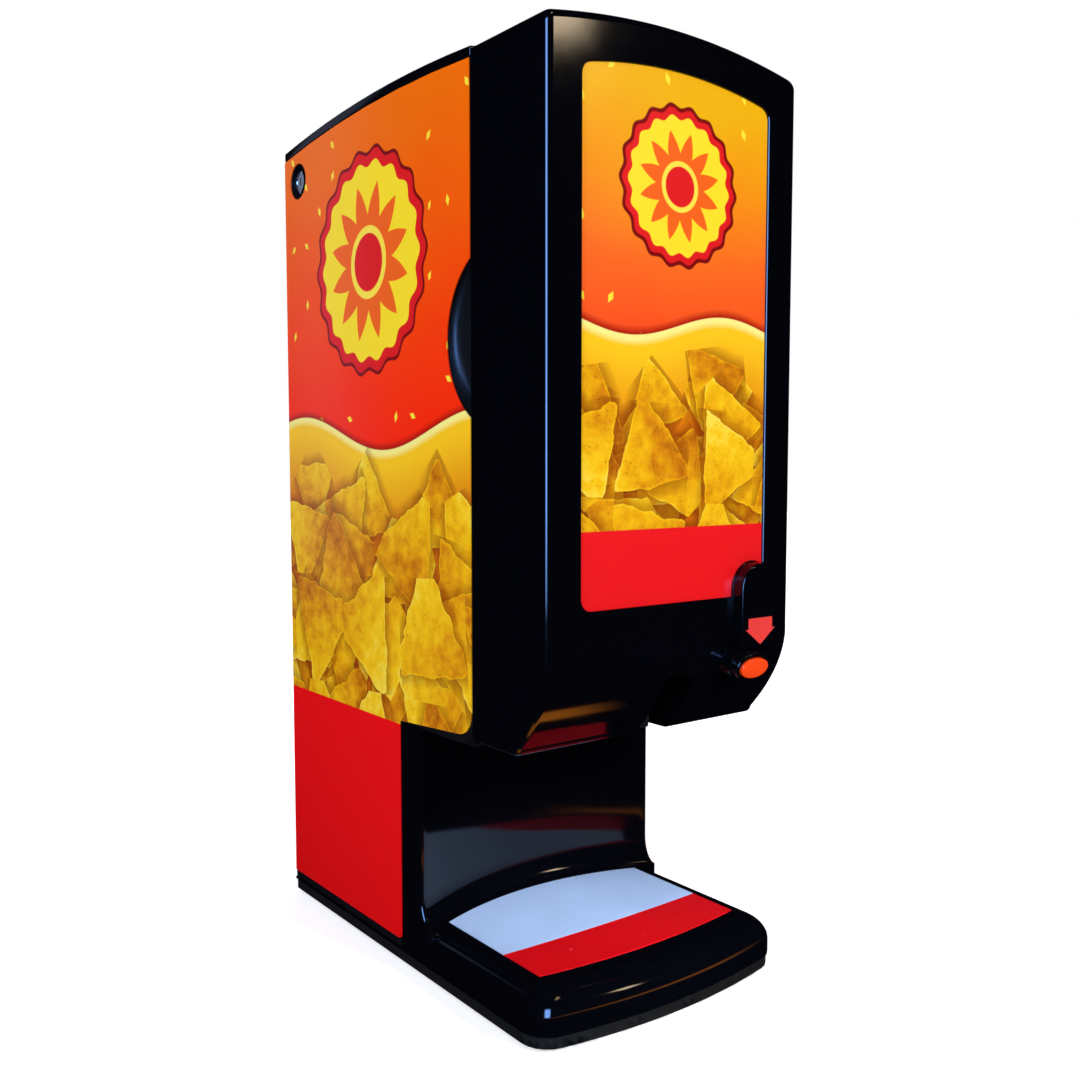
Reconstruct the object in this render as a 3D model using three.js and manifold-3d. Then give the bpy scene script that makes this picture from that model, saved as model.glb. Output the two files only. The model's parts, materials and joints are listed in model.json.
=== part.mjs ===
// Push-button hot cheese dispenser: an upright counter cabinet with a hinged
// front door, a heated chamber for a bag of cheese and a roller pump below it.
// Millimetres, +Z up, front towards -Y, origin under the middle of the box
// that holds the whole machine. Depths are counted from the front of the door,
// and heights from a level that lies a set drop above the counter.
import * as THREE from 'three';
import Module from 'manifold-3d';
import { mergeVertices } from 'three/addons/utils/BufferGeometryUtils.js';

const wasm = await Module();
wasm.setup();

// Clearances and stock sizes that many pieces share
const gap = 0.3;
const slideGap = 0.5;
const overrun = 6;
const sheet = 1.5;
const moulding = 3.5;
const boardThickness = 1.6;
const roundSides = 40;

// The case as a whole
const caseWidth = 247;
const caseDepth = 395;
const floorDrop = 21;
const noseReach = 6;
const noseSag = 15;
const doorDepth = 87;
const doorBottom = 186;
const doorEdgeTop = 687;
const crownRise = 12.5;
const doorStep = 0.5;
const caseRearTop = 674.5;
const edgeBulge = 8;
const rearCrownRise = 7;
const crownFallShare = 1.5;
const deckBottom = 183;
const lowerCaseFront = 192;
const graphicSheet = 0.8;
const flangeWidth = 12;

// Base: pan, feet, moulded cover and the plate on which a food tray rests
const foot = { height: 3, radius: 11, sides: 16, fromSide: 26, fromFront: 40, fromRear: 30 };
const pan = { height: 9, wall: 2, inset: 1.2 };
const base = { top: 21.5, shoulderOut: 25, shoulderDown: 19, corner: 24, noseSteps: 16, floor: 2, wall: 2.5 };
const column = { front: 165, hollow: 26, corner: 5, wall: 3, flare: 13, flareRise: 24 };
const trayPlate = {
  fromSide: 23.5, thickness: 1.5, bandFront: 27.8, bandRear: 78.7, frontBow: 8.5, seamBow: 2.5,
  rearBow: -20,
};
const domeSteps = 5;
const bowSteps = 12;
const flareSteps = 6;

// Upper case
const cover = { wall: 2.5, rim: 7, skirt: 6, apron: 12, apronThickness: 3 };
const coverSteps = 16;
const coverStations = 6;
const panelCorner = { lower: 6, upper: 19 };
const printInset = 0.8;
const printFoot = 7;
const printRise = 6;
const scoop = { radius: 68, depth: 51, z: 482.4, well: 9.5, sides: 72 };
const faceFrame = { setback: 2.7, thickness: 3, openBottom: 208, railNotch: 4 };
const deck = { thickness: 2, holeRadius: 14, holeFromSide: 53.5, holeFromRear: 50 };
const liner = {
  fromSide: 23.5, fromTop: 47, bottom: 300, depth: 200, flange: 8, slotHalf: 14, slotDepth: 34,
};
const grille = { slots: 8, width: 4, pitch: 8, height: 56 };
const ramp = { play: 7, front: 26, frontRise: 8, rearRise: 70, rear: 184 };
const jacket = { thickness: 14, front: 34, rear: 184 };

// Pump group, set around the line that the cheese tube follows
const tubeX = 10;
const spout = { depth: 55, outer: 9, bore: 6, bottom: 187, height: 20, sides: 28 };
const trough = { half: 8.6, wall: 2.2, rear: 126, bottom: 190, height: 14 };
const pump = { front: 104, depth: 32, left: 18, half: 36, z: 252, back: 4, cover: 3 };
const race = { radius: 31, sides: 44, channelHalf: 6, offset: 24 };
const rotor = { hub: 8, flange: 24, flangeThickness: 3, inset: 1.5, orbit: 19, pin: 2.5, shaft: 4, tail: 14 };
const roller = { radius: 7, count: 3, sides: 24 };
const bearing = { wall: 2, sides: 20 };
const gearbox = { half: 22, depth: 26, motorRadius: 18, motorLength: 48 };
const pumpMount = { half: 66, top: 290, thickness: 2.5, flange: 16, shaftHole: 8 };

// Heating
const heater = { fromLiner: 38, bottom: 325, height: 120, thickness: 6, terminal: 8 };
const fan = {
  half: 40, depth: 25, bore: 37, fromTop: 80, hub: 15, blades: 7, blade: 2, tip: 2, strut: 4, axle: 2,
};
const fanTiltShare = 0.2;
const thermostat = { radius: 8, height: 9, fromSide: 41.5, z: 420, tab: 12, tabWidth: 5 };

// Door
const door = { corner: 7, topCorner: 11, chinStart: 255, chinMiddle: 226, chinEase: 3 };
const doorRoundSteps = 4;
const chinSteps = 8;
const lip = { setback: 35, z: 191, back: 41 };
const notch = { half: 16, roof: 236, wall: 3, corner: 10 };
const pivot = {
  inset: 8, pin: 2.5, pinRise: 10, half: 5, thickness: 3, topZ: 661, bottomZ: 262, slot: 0.6, sides: 20,
};
const hingeTab = { fromSide: 15.2, width: 11.3, thickness: 3, rise: 12 };
const bush = { fromSide: 15.5, front: 72, height: 9 };
const swing = { limit: 105, step: 15, length: 24 };
const frontWindow = { fromSide: 32, bottom: 290, edge: 659, rise: 10.5, corner: 10 };
const windowSill = 3;
const windowRecess = 1.5;
const lightTray = { depth: 22, wall: 1.5, margin: 2 };
const led = { size: 5, height: 1.4, columns: 4, rows: 8, margin: 12 };
const innerPanel = { setback: 5, fromSide: 16.5 };
const gasket = { width: 8, fromSide: 17.5, bottom: 288, top: 652 };
const pill = { fromSide: 44, half: 20.5, top: 316, bottom: 249, proud: 9, ease: 0.6, edge: 2.2 };
const pillSteps = 12;

// Push button, in a tilted frame whose third axis points out of the door
const button = {
  fromSide: 54.5, depth: -12.5, z: 236, tiltDegrees: 15, halfWidth: 14.5, halfHeight: 8, sides: 32,
};
const buttonTravel = 3.5;
const buttonCap = { skirt: 9, proud: 1.4, crown: 1, stem: 2.6, clip: 4.1, clipHeight: 1.5, stemSides: 16 };
const barrel = { rim: 3.3, length: 42, floor: 2.5, springRoom: 7.5, rootFlare: 9, rootDepth: 26, collar: 8 };
const spring = { turns: 6, wire: 0.5, radius: 4.6 };
const springTurnSteps = 8;
const springWireSides = 5;
const microSwitch = { halfHeight: 4, depth: 9, nub: 1.4, nubHalf: 1.6 };

// Door catch, side lock and rear services
const magnet = { fromSide: 5.5, width: 9.1, height: 36, rear: 97, z: 600 };
const lock = { fromRear: 28, z: 645, cup: 15.5, cupWall: 1.2, cupDepth: 4 };
const lockFlange = { radius: 17, thickness: 1.2 };
const lockBarrel = { face: 11, faceThickness: 1.5, thread: 8.5, length: 16, sides: 32 };
const lockPlug = { radius: 6.5, tail: 3.5, tailEnd: 5, key: 1.8, keyLength: 7.5, keyDepth: 5 };
const cam = { thickness: 2.5, half: 4, reach: 21, eye: 8 };
const keeper = { below: 8, height: 14 };
const rearPanel = {
  recess: 4, slots: 9, slotHalf: 17, slotWidth: 3, pitch: 8, columnX: 24, lowZ: 115, highZ: 528,
};
const inlet = { x: 52, z: 62, half: 24.5, height: 29, flange: 2, border: 3, depth: 28 };
const socket = {
  x: -9, half: 11.5, height: 17, depth: 20, blade: 1, bladeHeight: 4, bladeLength: 15, pitch: 7,
};
const rocker = { x: 13, half: 5.5, height: 18, depth: 9, axle: 1.6, proud: 1 };
const rockerSwing = 9;
const supply = {
  fromSide: 17.5, fromMiddle: 14, fromFront: 30, fromRear: 38, height: 40, terminal: 10, slotWidth: 3,
  slots: 8,
};
const board = {
  fromSide: 17.5, fromMiddle: 8, fromFront: 30, fromRear: 68, standoff: 8, standoffRadius: 3, inset: 7,
};
const boardPiece = { relay: 19, relayHeight: 15, capRadius: 6, capHeight: 18, block: 10, blockLength: 40 };

// Thumb screw of the pump cover
const thumbScrew = { head: 6.5, headHeight: 6, shank: 2.4, length: 18, sides: 16 };
const screwPlay = 0.35;

// Places that follow from the sizes above
const halfWidth = caseWidth / 2;
const buttonTilt = THREE.MathUtils.degToRad(button.tiltDegrees);
const buttonReach = (buttonCap.proud + buttonCap.crown / 2) * Math.cos(buttonTilt)
  + (button.halfHeight - buttonCap.crown) * Math.sin(buttonTilt) - button.depth;
const frontPlane = -(caseDepth - buttonReach) / 2;
const caseFront = doorDepth + gap;
const caseEdgeTop = doorEdgeTop - doorStep;
const panelOuter = halfWidth - graphicSheet - gap;
const panelInner = panelOuter - sheet;
const insideHalf = panelInner - gap;
const flangeInner = panelInner - flangeWidth;
const footTop = foot.height - floorDrop;
const panTop = footTop + pan.height;
const baseBottom = panTop + gap;
const baseFloorTop = baseBottom + base.floor;
const caseBottom = baseFloorTop + gap;
const deckTop = deckBottom + deck.thickness;
const frameFront = caseFront + faceFrame.setback;
const frameRear = frameFront + faceFrame.thickness;
const linerFront = frameRear + gap;
const linerRear = linerFront + liner.depth;
const linerBack = linerRear + gap;
const rearPanelRear = caseDepth - rearPanel.recess;
const rearPanelFront = rearPanelRear - sheet;
const linerHalf = halfWidth - liner.fromSide;
const linerTop = doorEdgeTop - liner.fromTop;
const fanZ = linerTop - fan.fromTop;
const windowHalf = halfWidth - frontWindow.fromSide;
const windowFace = { ...frontWindow, half: windowHalf };
const pillX = halfWidth - pill.fromSide;
const magnetOuter = halfWidth - magnet.fromSide;
const magnetInner = magnetOuter - magnet.width;
const hingeTabRight = halfWidth - hingeTab.fromSide;
const pivotX = halfWidth - pivot.inset;
const pivotDepth = doorDepth - pivot.inset;
const innerPanelRear = doorDepth - innerPanel.setback;
const innerPanelFront = innerPanelRear - sheet;
const rotorX = tubeX + race.offset;
const pumpRear = pump.front + pump.depth;
const pumpLeft = tubeX - pump.left;
const pumpRight = rotorX + pump.half;
const mountFront = pumpRear + gap;
const mountRear = mountFront + pumpMount.thickness;
const gearboxFront = mountRear + gap;
const rotorFront = pump.front + rotor.inset;
const rotorRear = pumpRear - pump.back - rotor.inset;
const lockDepth = caseDepth - lock.fromRear;
const lockCentre = [lockDepth, lock.z];
const cupFront = gap - halfWidth;
const cupFloor = cupFront + lock.cupDepth;
const barrelRear = cupFloor - gap + lockBarrel.length;
const camX = barrelRear + gap;
const camRear = camX + cam.thickness;

// Colours and finishes
const looks = {
  gloss_black: { color: 0x0b0c10, roughness: 0.12, metalness: 0 },
  satin_black: { color: 0x15161a, roughness: 0.5, metalness: 0 },
  painted_black: { color: 0x121317, roughness: 0.4, metalness: 0 },
  pan_grey: { color: 0x6d6c5c, roughness: 0.7, metalness: 0 },
  rubber: { color: 0x1b1b1c, roughness: 0.85, metalness: 0 },
  tray_blue: { color: 0xb9c3da, roughness: 0.4, metalness: 0 },
  tray_red: { color: 0xd3141c, roughness: 0.35, metalness: 0 },
  side_print: { color: 0xe8541b, roughness: 0.22, metalness: 0 },
  front_print: { color: 0xf39a1a, roughness: 0.25, metalness: 0 },
  button_orange: { color: 0xff4a14, roughness: 0.25, metalness: 0 },
  stainless: { color: 0xb9bcc0, roughness: 0.32, metalness: 1 },
  zinc_steel: { color: 0x9da1a6, roughness: 0.4, metalness: 1 },
  chrome: { color: 0xd8dade, roughness: 0.08, metalness: 1 },
  aluminium: { color: 0xaeb1b5, roughness: 0.38, metalness: 1 },
  brass: { color: 0xb8924a, roughness: 0.35, metalness: 1 },
  foam: { color: 0xb9b49c, roughness: 0.95, metalness: 0 },
  white_plastic: { color: 0xf0f0ec, roughness: 0.5, metalness: 0 },
  clear_plastic: { color: 0xdfe8ea, roughness: 0.1, metalness: 0 },
  board_green: { color: 0x1d6b3a, roughness: 0.5, metalness: 0 },
};

// Geometry helpers
const ex = new THREE.Vector3(1, 0, 0);
const ey = new THREE.Vector3(0, 1, 0);
const ez = new THREE.Vector3(0, 0, 1);
const away = ey.clone().negate();
const frontBasis = new THREE.Matrix4().makeBasis(ex, ez, away);
const sideBasis = new THREE.Matrix4().makeBasis(ey, ez, ex);

function atDepth(depth) {
  return depth + frontPlane;
}

function point(x, y) {
  return new THREE.Vector2(x, y);
}

function mix(from, to, share) {
  return from + (to - from) * share;
}

function solidOf(geometry) {
  const bare = geometry.clone();
  bare.deleteAttribute('normal');
  bare.deleteAttribute('uv');
  const merged = mergeVertices(bare);
  const vertProperties = new Float32Array(merged.attributes.position.array);
  const triVerts = new Uint32Array(merged.index.array);
  return new wasm.Manifold(new wasm.Mesh({ numProp: 3, vertProperties, triVerts }));
}

function joined(solids) {
  return solids.reduce((whole, next) => whole.add(next));
}

function cut(solid, ...cutters) {
  return cutters.reduce((rest, cutter) => rest.subtract(cutter), solid);
}

// A block between two depths, given its left, right, bottom and top
function block(left, right, front, rear, bottom, top) {
  const geometry = new THREE.BoxGeometry(right - left, rear - front, top - bottom);
  geometry.translate((left + right) / 2, atDepth((front + rear) / 2), (bottom + top) / 2);
  return solidOf(geometry);
}

// A round bar along x, along the depth or upright, from one end to the other
function bar(axis, radius, a, b, from, to, sides) {
  const geometry = new THREE.CylinderGeometry(radius, radius, to - from, sides);
  const middle = (from + to) / 2;
  if (axis === 'x') {
    geometry.rotateZ(Math.PI / 2);
    geometry.translate(middle, atDepth(a), b);
  } else if (axis === 'depth') {
    geometry.translate(a, atDepth(middle), b);
  } else {
    geometry.rotateX(Math.PI / 2);
    geometry.translate(a, atDepth(b), middle);
  }
  return solidOf(geometry);
}

function prism(outline, length) {
  return new THREE.ExtrudeGeometry(new THREE.Shape(outline), { depth: length, bevelEnabled: false });
}

// Outline seen from the front (x, z), between two depths
function frontPrism(outline, front, rear) {
  const geometry = prism(outline, rear - front);
  geometry.applyMatrix4(frontBasis);
  geometry.translate(0, atDepth(rear), 0);
  return solidOf(geometry);
}

// Outline seen from the side (depth, z), between two x values
function sidePrism(outline, left, right) {
  const geometry = prism(outline, right - left);
  geometry.applyMatrix4(sideBasis);
  geometry.translate(left, frontPlane, 0);
  return solidOf(geometry);
}

// Outline seen from above (x, depth), between two heights
function planPrism(outline, bottom, top) {
  const geometry = prism(outline, top - bottom);
  geometry.translate(0, frontPlane, bottom);
  return solidOf(geometry);
}

function arc(centreX, centreY, radius, from, to, steps) {
  const points = [];
  for (let i = 0; i <= steps; i += 1) {
    const angle = mix(from, to, i / steps);
    points.push(point(centreX + radius * Math.cos(angle), centreY + radius * Math.sin(angle)));
  }
  return points;
}

function signedVolume(positions, index) {
  let volume = 0;
  const corner = (i) => new THREE.Vector3().fromArray(positions, index[i] * 3);
  for (let i = 0; i < index.length; i += 3) {
    volume += corner(i).dot(corner(i + 1).cross(corner(i + 2))) / 6;
  }
  return volume;
}

// A closed skin through rings of as many points each; flatten gives the view in which ends are filled
function loft(rings, flatten) {
  const count = rings[0].length;
  const positions = rings.flat().flatMap((p) => [p.x, atDepth(p.y), p.z]);
  const index = [];
  for (let ring = 0; ring < rings.length - 1; ring += 1) {
    for (let i = 0; i < count; i += 1) {
      const a = ring * count + i;
      const b = ring * count + ((i + 1) % count);
      index.push(a, b, b + count, a, b + count, a + count);
    }
  }
  const last = (rings.length - 1) * count;
  const forward = !THREE.ShapeUtils.isClockWise(rings[0].map(flatten));
  for (const face of THREE.ShapeUtils.triangulateShape(rings[0].map(flatten), [])) {
    index.push(...(forward ? face.toReversed() : face));
  }
  for (const face of THREE.ShapeUtils.triangulateShape(rings.at(-1).map(flatten), [])) {
    index.push(...(forward ? face : face.toReversed()).map((i) => i + last));
  }
  if (signedVolume(positions, index) < 0) {
    index.reverse();
  }
  const geometry = new THREE.BufferGeometry();
  geometry.setAttribute('position', new THREE.Float32BufferAttribute(positions, 3));
  geometry.setIndex(index);
  return solidOf(geometry);
}

const fromFront = (p) => point(p.x, p.z);
const fromAbove = (p) => point(p.x, p.y);

// The scene graph: every piece is a mesh placed at its own middle
const dispenser = new THREE.Group();

function addPiece(name, solid, look, parent = dispenser) {
  const mesh = solid.getMesh();
  const geometry = new THREE.BufferGeometry();
  geometry.setAttribute('position', new THREE.Float32BufferAttribute(mesh.vertProperties, mesh.numProp));
  geometry.setIndex(Array.from(mesh.triVerts));
  geometry.computeBoundingBox();
  const centre = geometry.boundingBox.getCenter(new THREE.Vector3());
  geometry.translate(-centre.x, -centre.y, -centre.z);
  geometry.computeVertexNormals();
  const piece = new THREE.Mesh(geometry, new THREE.MeshStandardMaterial(looks[look]));
  piece.name = name;
  piece.position.set(centre.x, centre.y, centre.z + floorDrop);
  parent.add(piece);
}

// Upright outline with a low arched top and rounded corners, drawn in by an inset
const archSteps = 20;
const cornerSteps = 5;

function archOutline(size, inset) {
  const { half, bottom, edge, rise, corner } = size;
  const archRadius = (half * half + rise * rise) / (2 * rise);
  const centre = edge + rise - archRadius;
  const radius = archRadius - inset;
  const side = half - inset;
  const round = Math.max(corner - inset, gap);
  const filletX = side - round;
  const filletZ = centre + Math.sqrt((radius - round) ** 2 - filletX ** 2);
  const turn = Math.atan2(filletZ - centre, filletX);
  const footRound = Math.max((size.footCorner ?? corner) - inset, gap);
  const low = bottom + inset + footRound;
  return [
    ...arc(footRound - side, low, footRound, Math.PI, 1.5 * Math.PI, cornerSteps),
    ...arc(side - footRound, low, footRound, -0.5 * Math.PI, 0, cornerSteps),
    ...arc(filletX, filletZ, round, 0, turn, cornerSteps),
    ...arc(0, centre, radius, turn, Math.PI - turn, archSteps).slice(1, -1),
    ...arc(-filletX, filletZ, round, Math.PI - turn, Math.PI, cornerSteps),
  ];
}

// Base outline from above: straight rear, bowed nose and round front corners
function baseOutline(inset, rear) {
  const bow = (halfWidth * halfWidth + noseSag * noseSag) / (2 * noseSag);
  const centre = bow - noseReach;
  const radius = bow - inset;
  const side = halfWidth - inset;
  const round = Math.max(base.corner - inset / 2, gap);
  const filletX = side - round;
  const filletY = centre - Math.sqrt((radius - round) ** 2 - filletX ** 2);
  const turn = Math.atan2(filletY - centre, filletX);
  return [
    point(side, rear - inset),
    point(-side, rear - inset),
    ...arc(-filletX, filletY, round, Math.PI, Math.PI * 2 - (Math.PI + turn), cornerSteps),
    ...arc(0, centre, radius, -Math.PI - turn, turn, base.noseSteps).slice(1, -1),
    ...arc(filletX, filletY, round, turn, 0, cornerSteps),
  ];
}

function domeSolid(inset, bottom) {
  const rings = [baseOutline(inset, lowerCaseFront + base.shoulderOut)];
  const heights = [bottom];
  for (let i = 0; i <= domeSteps; i += 1) {
    const turn = (i / domeSteps) * Math.PI / 2;
    rings.push(baseOutline(inset + base.shoulderOut * (1 - Math.cos(turn)),
      lowerCaseFront + base.shoulderOut));
    heights.push(base.top - inset - base.shoulderDown * (1 - Math.sin(turn)));
  }
  const levels = rings.map((ring, i) => ring.map((p) => new THREE.Vector3(p.x, p.y, heights[i])));
  const ahead = block(-caseWidth, caseWidth, -caseDepth, lowerCaseFront, bottom, base.top);
  return loft(levels, fromAbove).intersect(ahead);
}

// Plan path of the hollow column front from right to left, pushed forward by a flare
function columnPath(inset, flare) {
  const side = halfWidth - inset;
  const corner = column.corner;
  const front = column.front + inset - flare;
  const half = side - corner;
  const bow = (half * half + column.hollow ** 2) / (2 * column.hollow);
  const sweep = Math.asin(half / bow);
  const centre = front + column.hollow - bow;
  return [
    point(side, lowerCaseFront - gap),
    ...arc(half, front + corner, corner, 0, -Math.PI / 2, cornerSteps),
    ...arc(0, centre, bow, Math.PI / 2 - sweep, Math.PI / 2 + sweep, bowSteps).slice(1, -1),
    ...arc(-half, front + corner, corner, -Math.PI / 2, -Math.PI, cornerSteps),
    point(-side, lowerCaseFront - gap),
  ];
}

// Shallow bow from left to right; its middle lies ahead of its ends, or behind for a negative bow
function bowedEdge(half, middle, bow) {
  const radius = (half * half + bow * bow) / (2 * bow);
  const points = [];
  for (let i = 0; i <= bowSteps; i += 1) {
    const x = mix(-half, half, i / bowSteps);
    points.push(point(x, middle + radius - Math.sign(radius) * Math.sqrt(radius * radius - x * x)));
  }
  return points;
}

function trayOutline(front, frontBow, rear, rearBow, inset) {
  const half = halfWidth - trayPlate.fromSide - inset;
  return [
    ...bowedEdge(half, front + inset, frontBow),
    ...bowedEdge(half, rear - inset, rearBow).toReversed(),
  ];
}

const trayRear = column.front + column.hollow - column.flare - gap * 2;
const trayRecess = base.top - trayPlate.thickness;

function addBase() {
  const panSkin = planPrism(baseOutline(pan.inset, caseDepth), footTop, panTop);
  const panHollow = planPrism(baseOutline(pan.inset + pan.wall, caseDepth), footTop + pan.wall,
    panTop + overrun);
  addPiece('base_pan', cut(panSkin, panHollow), 'pan_grey');

  for (const [hand, side] of [['left', -1], ['right', 1]]) {
    for (const [end, depth] of [['front', foot.fromFront], ['rear', caseDepth - foot.fromRear]]) {
      const x = side * (halfWidth - foot.fromSide);
      addPiece(`foot_${end}_${hand}`, bar('up', foot.radius, x, depth, -floorDrop, footTop - gap, foot.sides),
        'rubber');
    }
  }

  const pedestal = planPrism(columnPath(0, column.flare), baseBottom, base.top);
  const backWall = block(-halfWidth, halfWidth, lowerCaseFront - base.wall, lowerCaseFront, baseBottom,
    base.top);
  const bridgeHollow = block(base.wall - halfWidth, halfWidth - base.wall, column.front - overrun,
    lowerCaseFront - base.wall, baseBottom - overrun, base.top - base.wall);
  const floor = block(-halfWidth, halfWidth, lowerCaseFront - base.wall, caseDepth, baseBottom, baseFloorTop);
  const outer = joined([domeSolid(0, baseBottom), pedestal, backWall, floor]);
  const hollow = domeSolid(base.wall, baseBottom - overrun)
    .intersect(block(-halfWidth, halfWidth, -caseDepth, lowerCaseFront - base.wall, baseBottom - overrun,
      base.top));
  const seat = trayOutline(trayPlate.bandFront, trayPlate.frontBow, trayRear, trayPlate.rearBow, -gap);
  const plateSeat = planPrism(seat, trayRecess, base.top + overrun);
  addPiece('base_cover', cut(outer, hollow, bridgeHollow, plateSeat), 'gloss_black');

  const plateTop = base.top + gap;
  const plateBottom = trayRecess + gap;
  const rest = trayOutline(trayPlate.bandRear + gap, trayPlate.seamBow, trayRear, trayPlate.rearBow, 0);
  addPiece('tray_plate', planPrism(rest, plateBottom, plateTop), 'tray_blue');
  const band = trayOutline(trayPlate.bandFront, trayPlate.frontBow, trayPlate.bandRear,
    trayPlate.seamBow, 0);
  addPiece('tray_front_band', planPrism(band, plateBottom, plateTop), 'tray_red');

  const rings = [];
  const bottom = base.top + gap;
  for (let i = 0; i <= flareSteps; i += 1) {
    const turn = (i / flareSteps) * Math.PI / 2;
    const flare = column.flare * (1 - Math.sin(turn));
    const height = bottom + column.flareRise * (1 - Math.cos(turn));
    rings.push(columnRing(flare, height));
  }
  rings.push(columnRing(0, deckBottom - gap));
  addPiece('column_front', loft(rings, fromAbove), 'gloss_black');
}

function columnRing(flare, height) {
  const outside = columnPath(0, flare);
  const inside = columnPath(column.wall, flare).toReversed();
  return [...outside, ...inside].map((p) => new THREE.Vector3(p.x, p.y, height));
}

// Height of the case's side edge and rise of its arched top along the depth
function caseEdge(depth) {
  const share = (depth - doorDepth) / (caseDepth - doorDepth);
  return mix(caseEdgeTop, caseRearTop, share) + edgeBulge * 4 * share * (1 - share);
}

function caseRise(depth) {
  const share = Math.max(depth - doorDepth, 0) / (caseDepth - doorDepth);
  return mix(crownRise, rearCrownRise, share ** crownFallShare);
}

function topArc(depth, inset, reach) {
  const rise = caseRise(depth);
  const bow = (halfWidth * halfWidth + rise * rise) / (2 * rise);
  const radius = bow - inset;
  const sweep = Math.asin(reach / radius);
  const centre = caseEdge(depth) + rise - bow;
  return arc(0, centre, radius, Math.PI / 2 - sweep, Math.PI / 2 + sweep, coverSteps);
}

function coverRing(depth) {
  const rimBottom = caseEdge(depth) - cover.rim;
  const skirtInner = insideHalf - cover.wall;
  const leftEdge = [
    point(-halfWidth, rimBottom),
    point(-insideHalf, rimBottom),
    point(-insideHalf, rimBottom - cover.skirt),
    point(-skirtInner, rimBottom - cover.skirt),
  ];
  const rightEdge = leftEdge.map((p) => point(-p.x, p.y)).toReversed();
  const section = [
    ...topArc(depth, 0, halfWidth),
    ...leftEdge,
    ...topArc(depth, cover.wall, skirtInner).toReversed(),
    ...rightEdge,
  ];
  return section.map((p) => new THREE.Vector3(p.x, depth, p.y));
}

function addTopCover() {
  const rings = [];
  const rear = rearPanelRear + gap + cover.apronThickness;
  for (let i = 0; i <= coverStations; i += 1) {
    rings.push(coverRing(mix(caseFront, rear, i / coverStations)));
  }
  const apronTop = topArc(rear, cover.wall / 2, insideHalf);
  const apronFoot = caseEdge(rear) - cover.apron;
  const apronOutline = [...apronTop, point(-insideHalf, apronFoot), point(insideHalf, apronFoot)];
  const apron = frontPrism(apronOutline, rearPanelRear + gap, rear);
  addPiece('top_cover', loft(rings, fromFront).add(apron), 'gloss_black');
}

// Side of the case seen from the left: an upper part and a set-back lower part
function sideOutline(inset, footInset, underRise) {
  const front = caseFront + inset;
  const lowFront = lowerCaseFront + inset;
  const rear = caseDepth - inset;
  const bottom = caseBottom + footInset;
  const underside = deckBottom + inset;
  const round = panelCorner.upper;
  const small = panelCorner.lower;
  const points = [
    ...arc(lowFront + small, bottom + small, small, Math.PI, 1.5 * Math.PI, cornerSteps),
    point(rear, bottom),
  ];
  for (let i = coverStations; i >= 0; i -= 1) {
    const depth = mix(front, rear, i / coverStations);
    points.push(point(depth, caseEdge(depth) - cover.rim - gap - inset));
  }
  points.push(...arc(front + round, underside + underRise + round, round, Math.PI, 1.5 * Math.PI,
    cornerSteps));
  points.push(point(lowFront, underside));
  return points;
}

function scoopCutter(extra) {
  return bar('x', scoop.radius + extra, scoop.depth, scoop.z, -halfWidth - overrun,
    -insideHalf + scoop.well, scoop.sides);
}

function lockCutter() {
  return bar('x', lock.cup + gap, ...lockCentre, -halfWidth - overrun, -panelInner + overrun, roundSides);
}

// Rectangles of the flange that would meet the catch, the finger well or a hinge plate
function magnetPocket(extra) {
  return block(-magnetOuter - extra, -magnetInner + extra, frameFront - overrun, magnet.rear + extra,
    magnet.z - magnet.height / 2 - extra, magnet.z + magnet.height / 2 + extra);
}

function hingeSlots() {
  const slots = [pivot.topZ, pivot.bottomZ].map((z) => block(flangeInner - gap, panelInner + gap,
    caseFront - overrun, frameRear + overrun, z - gap, z + pivot.thickness + gap));
  return joined(slots);
}

function addSidePanels() {
  const flangeFront = block(-panelInner, -flangeInner, frameRear + gap, frameRear + gap + sheet,
    deckTop + gap, caseEdgeTop - cover.rim - cover.skirt - gap * 2);
  const flangeRear = block(-panelInner - gap, -flangeInner, rearPanelFront - gap - sheet,
    rearPanelFront - gap,
    caseBottom, caseRearTop - cover.rim - cover.skirt - gap * 2);
  const flangeRoot = block(-panelInner - gap, -panelInner + gap, frameRear + gap, frameRear + gap + sheet,
    deckTop + panelCorner.upper, caseEdgeTop - cover.rim - cover.skirt - gap * 2);
  const wellClear = block(-panelInner, 0, frameFront, frameRear + overrun,
    scoop.z - scoop.radius - sheet - gap * 2, scoop.z + scoop.radius + sheet + gap * 2);
  const frontFlange = cut(flangeFront, wellClear).add(cut(flangeRoot, wellClear));
  const leftSkin = cut(sidePrism(sideOutline(0, 0, 0), -panelOuter, -panelInner), lockCutter());
  const left = cut(joined([leftSkin, frontFlange, flangeRear]), scoopCutter(0), magnetPocket(gap));
  addPiece('left_side_panel', left, 'painted_black');

  const rightSkin = sidePrism(sideOutline(0, 0, 0), panelInner, panelOuter);
  const mirrored = [flangeFront, flangeRoot, flangeRear].map((solid) => solid.mirror([1, 0, 0]));
  const right = cut(joined([rightSkin, ...mirrored]), hingeSlots());
  addPiece('right_side_panel', right, 'painted_black');

  const printOuter = panelOuter + gap + graphicSheet;
  const printOutline = sideOutline(printInset, printFoot, printRise);
  const leftPrint = sidePrism(printOutline, -printOuter, -panelOuter - gap);
  addPiece('left_graphic', cut(leftPrint, scoopCutter(0), lockCutter()), 'side_print');
  addPiece('right_graphic', sidePrism(printOutline, panelOuter + gap, printOuter), 'side_print');
}

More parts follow.
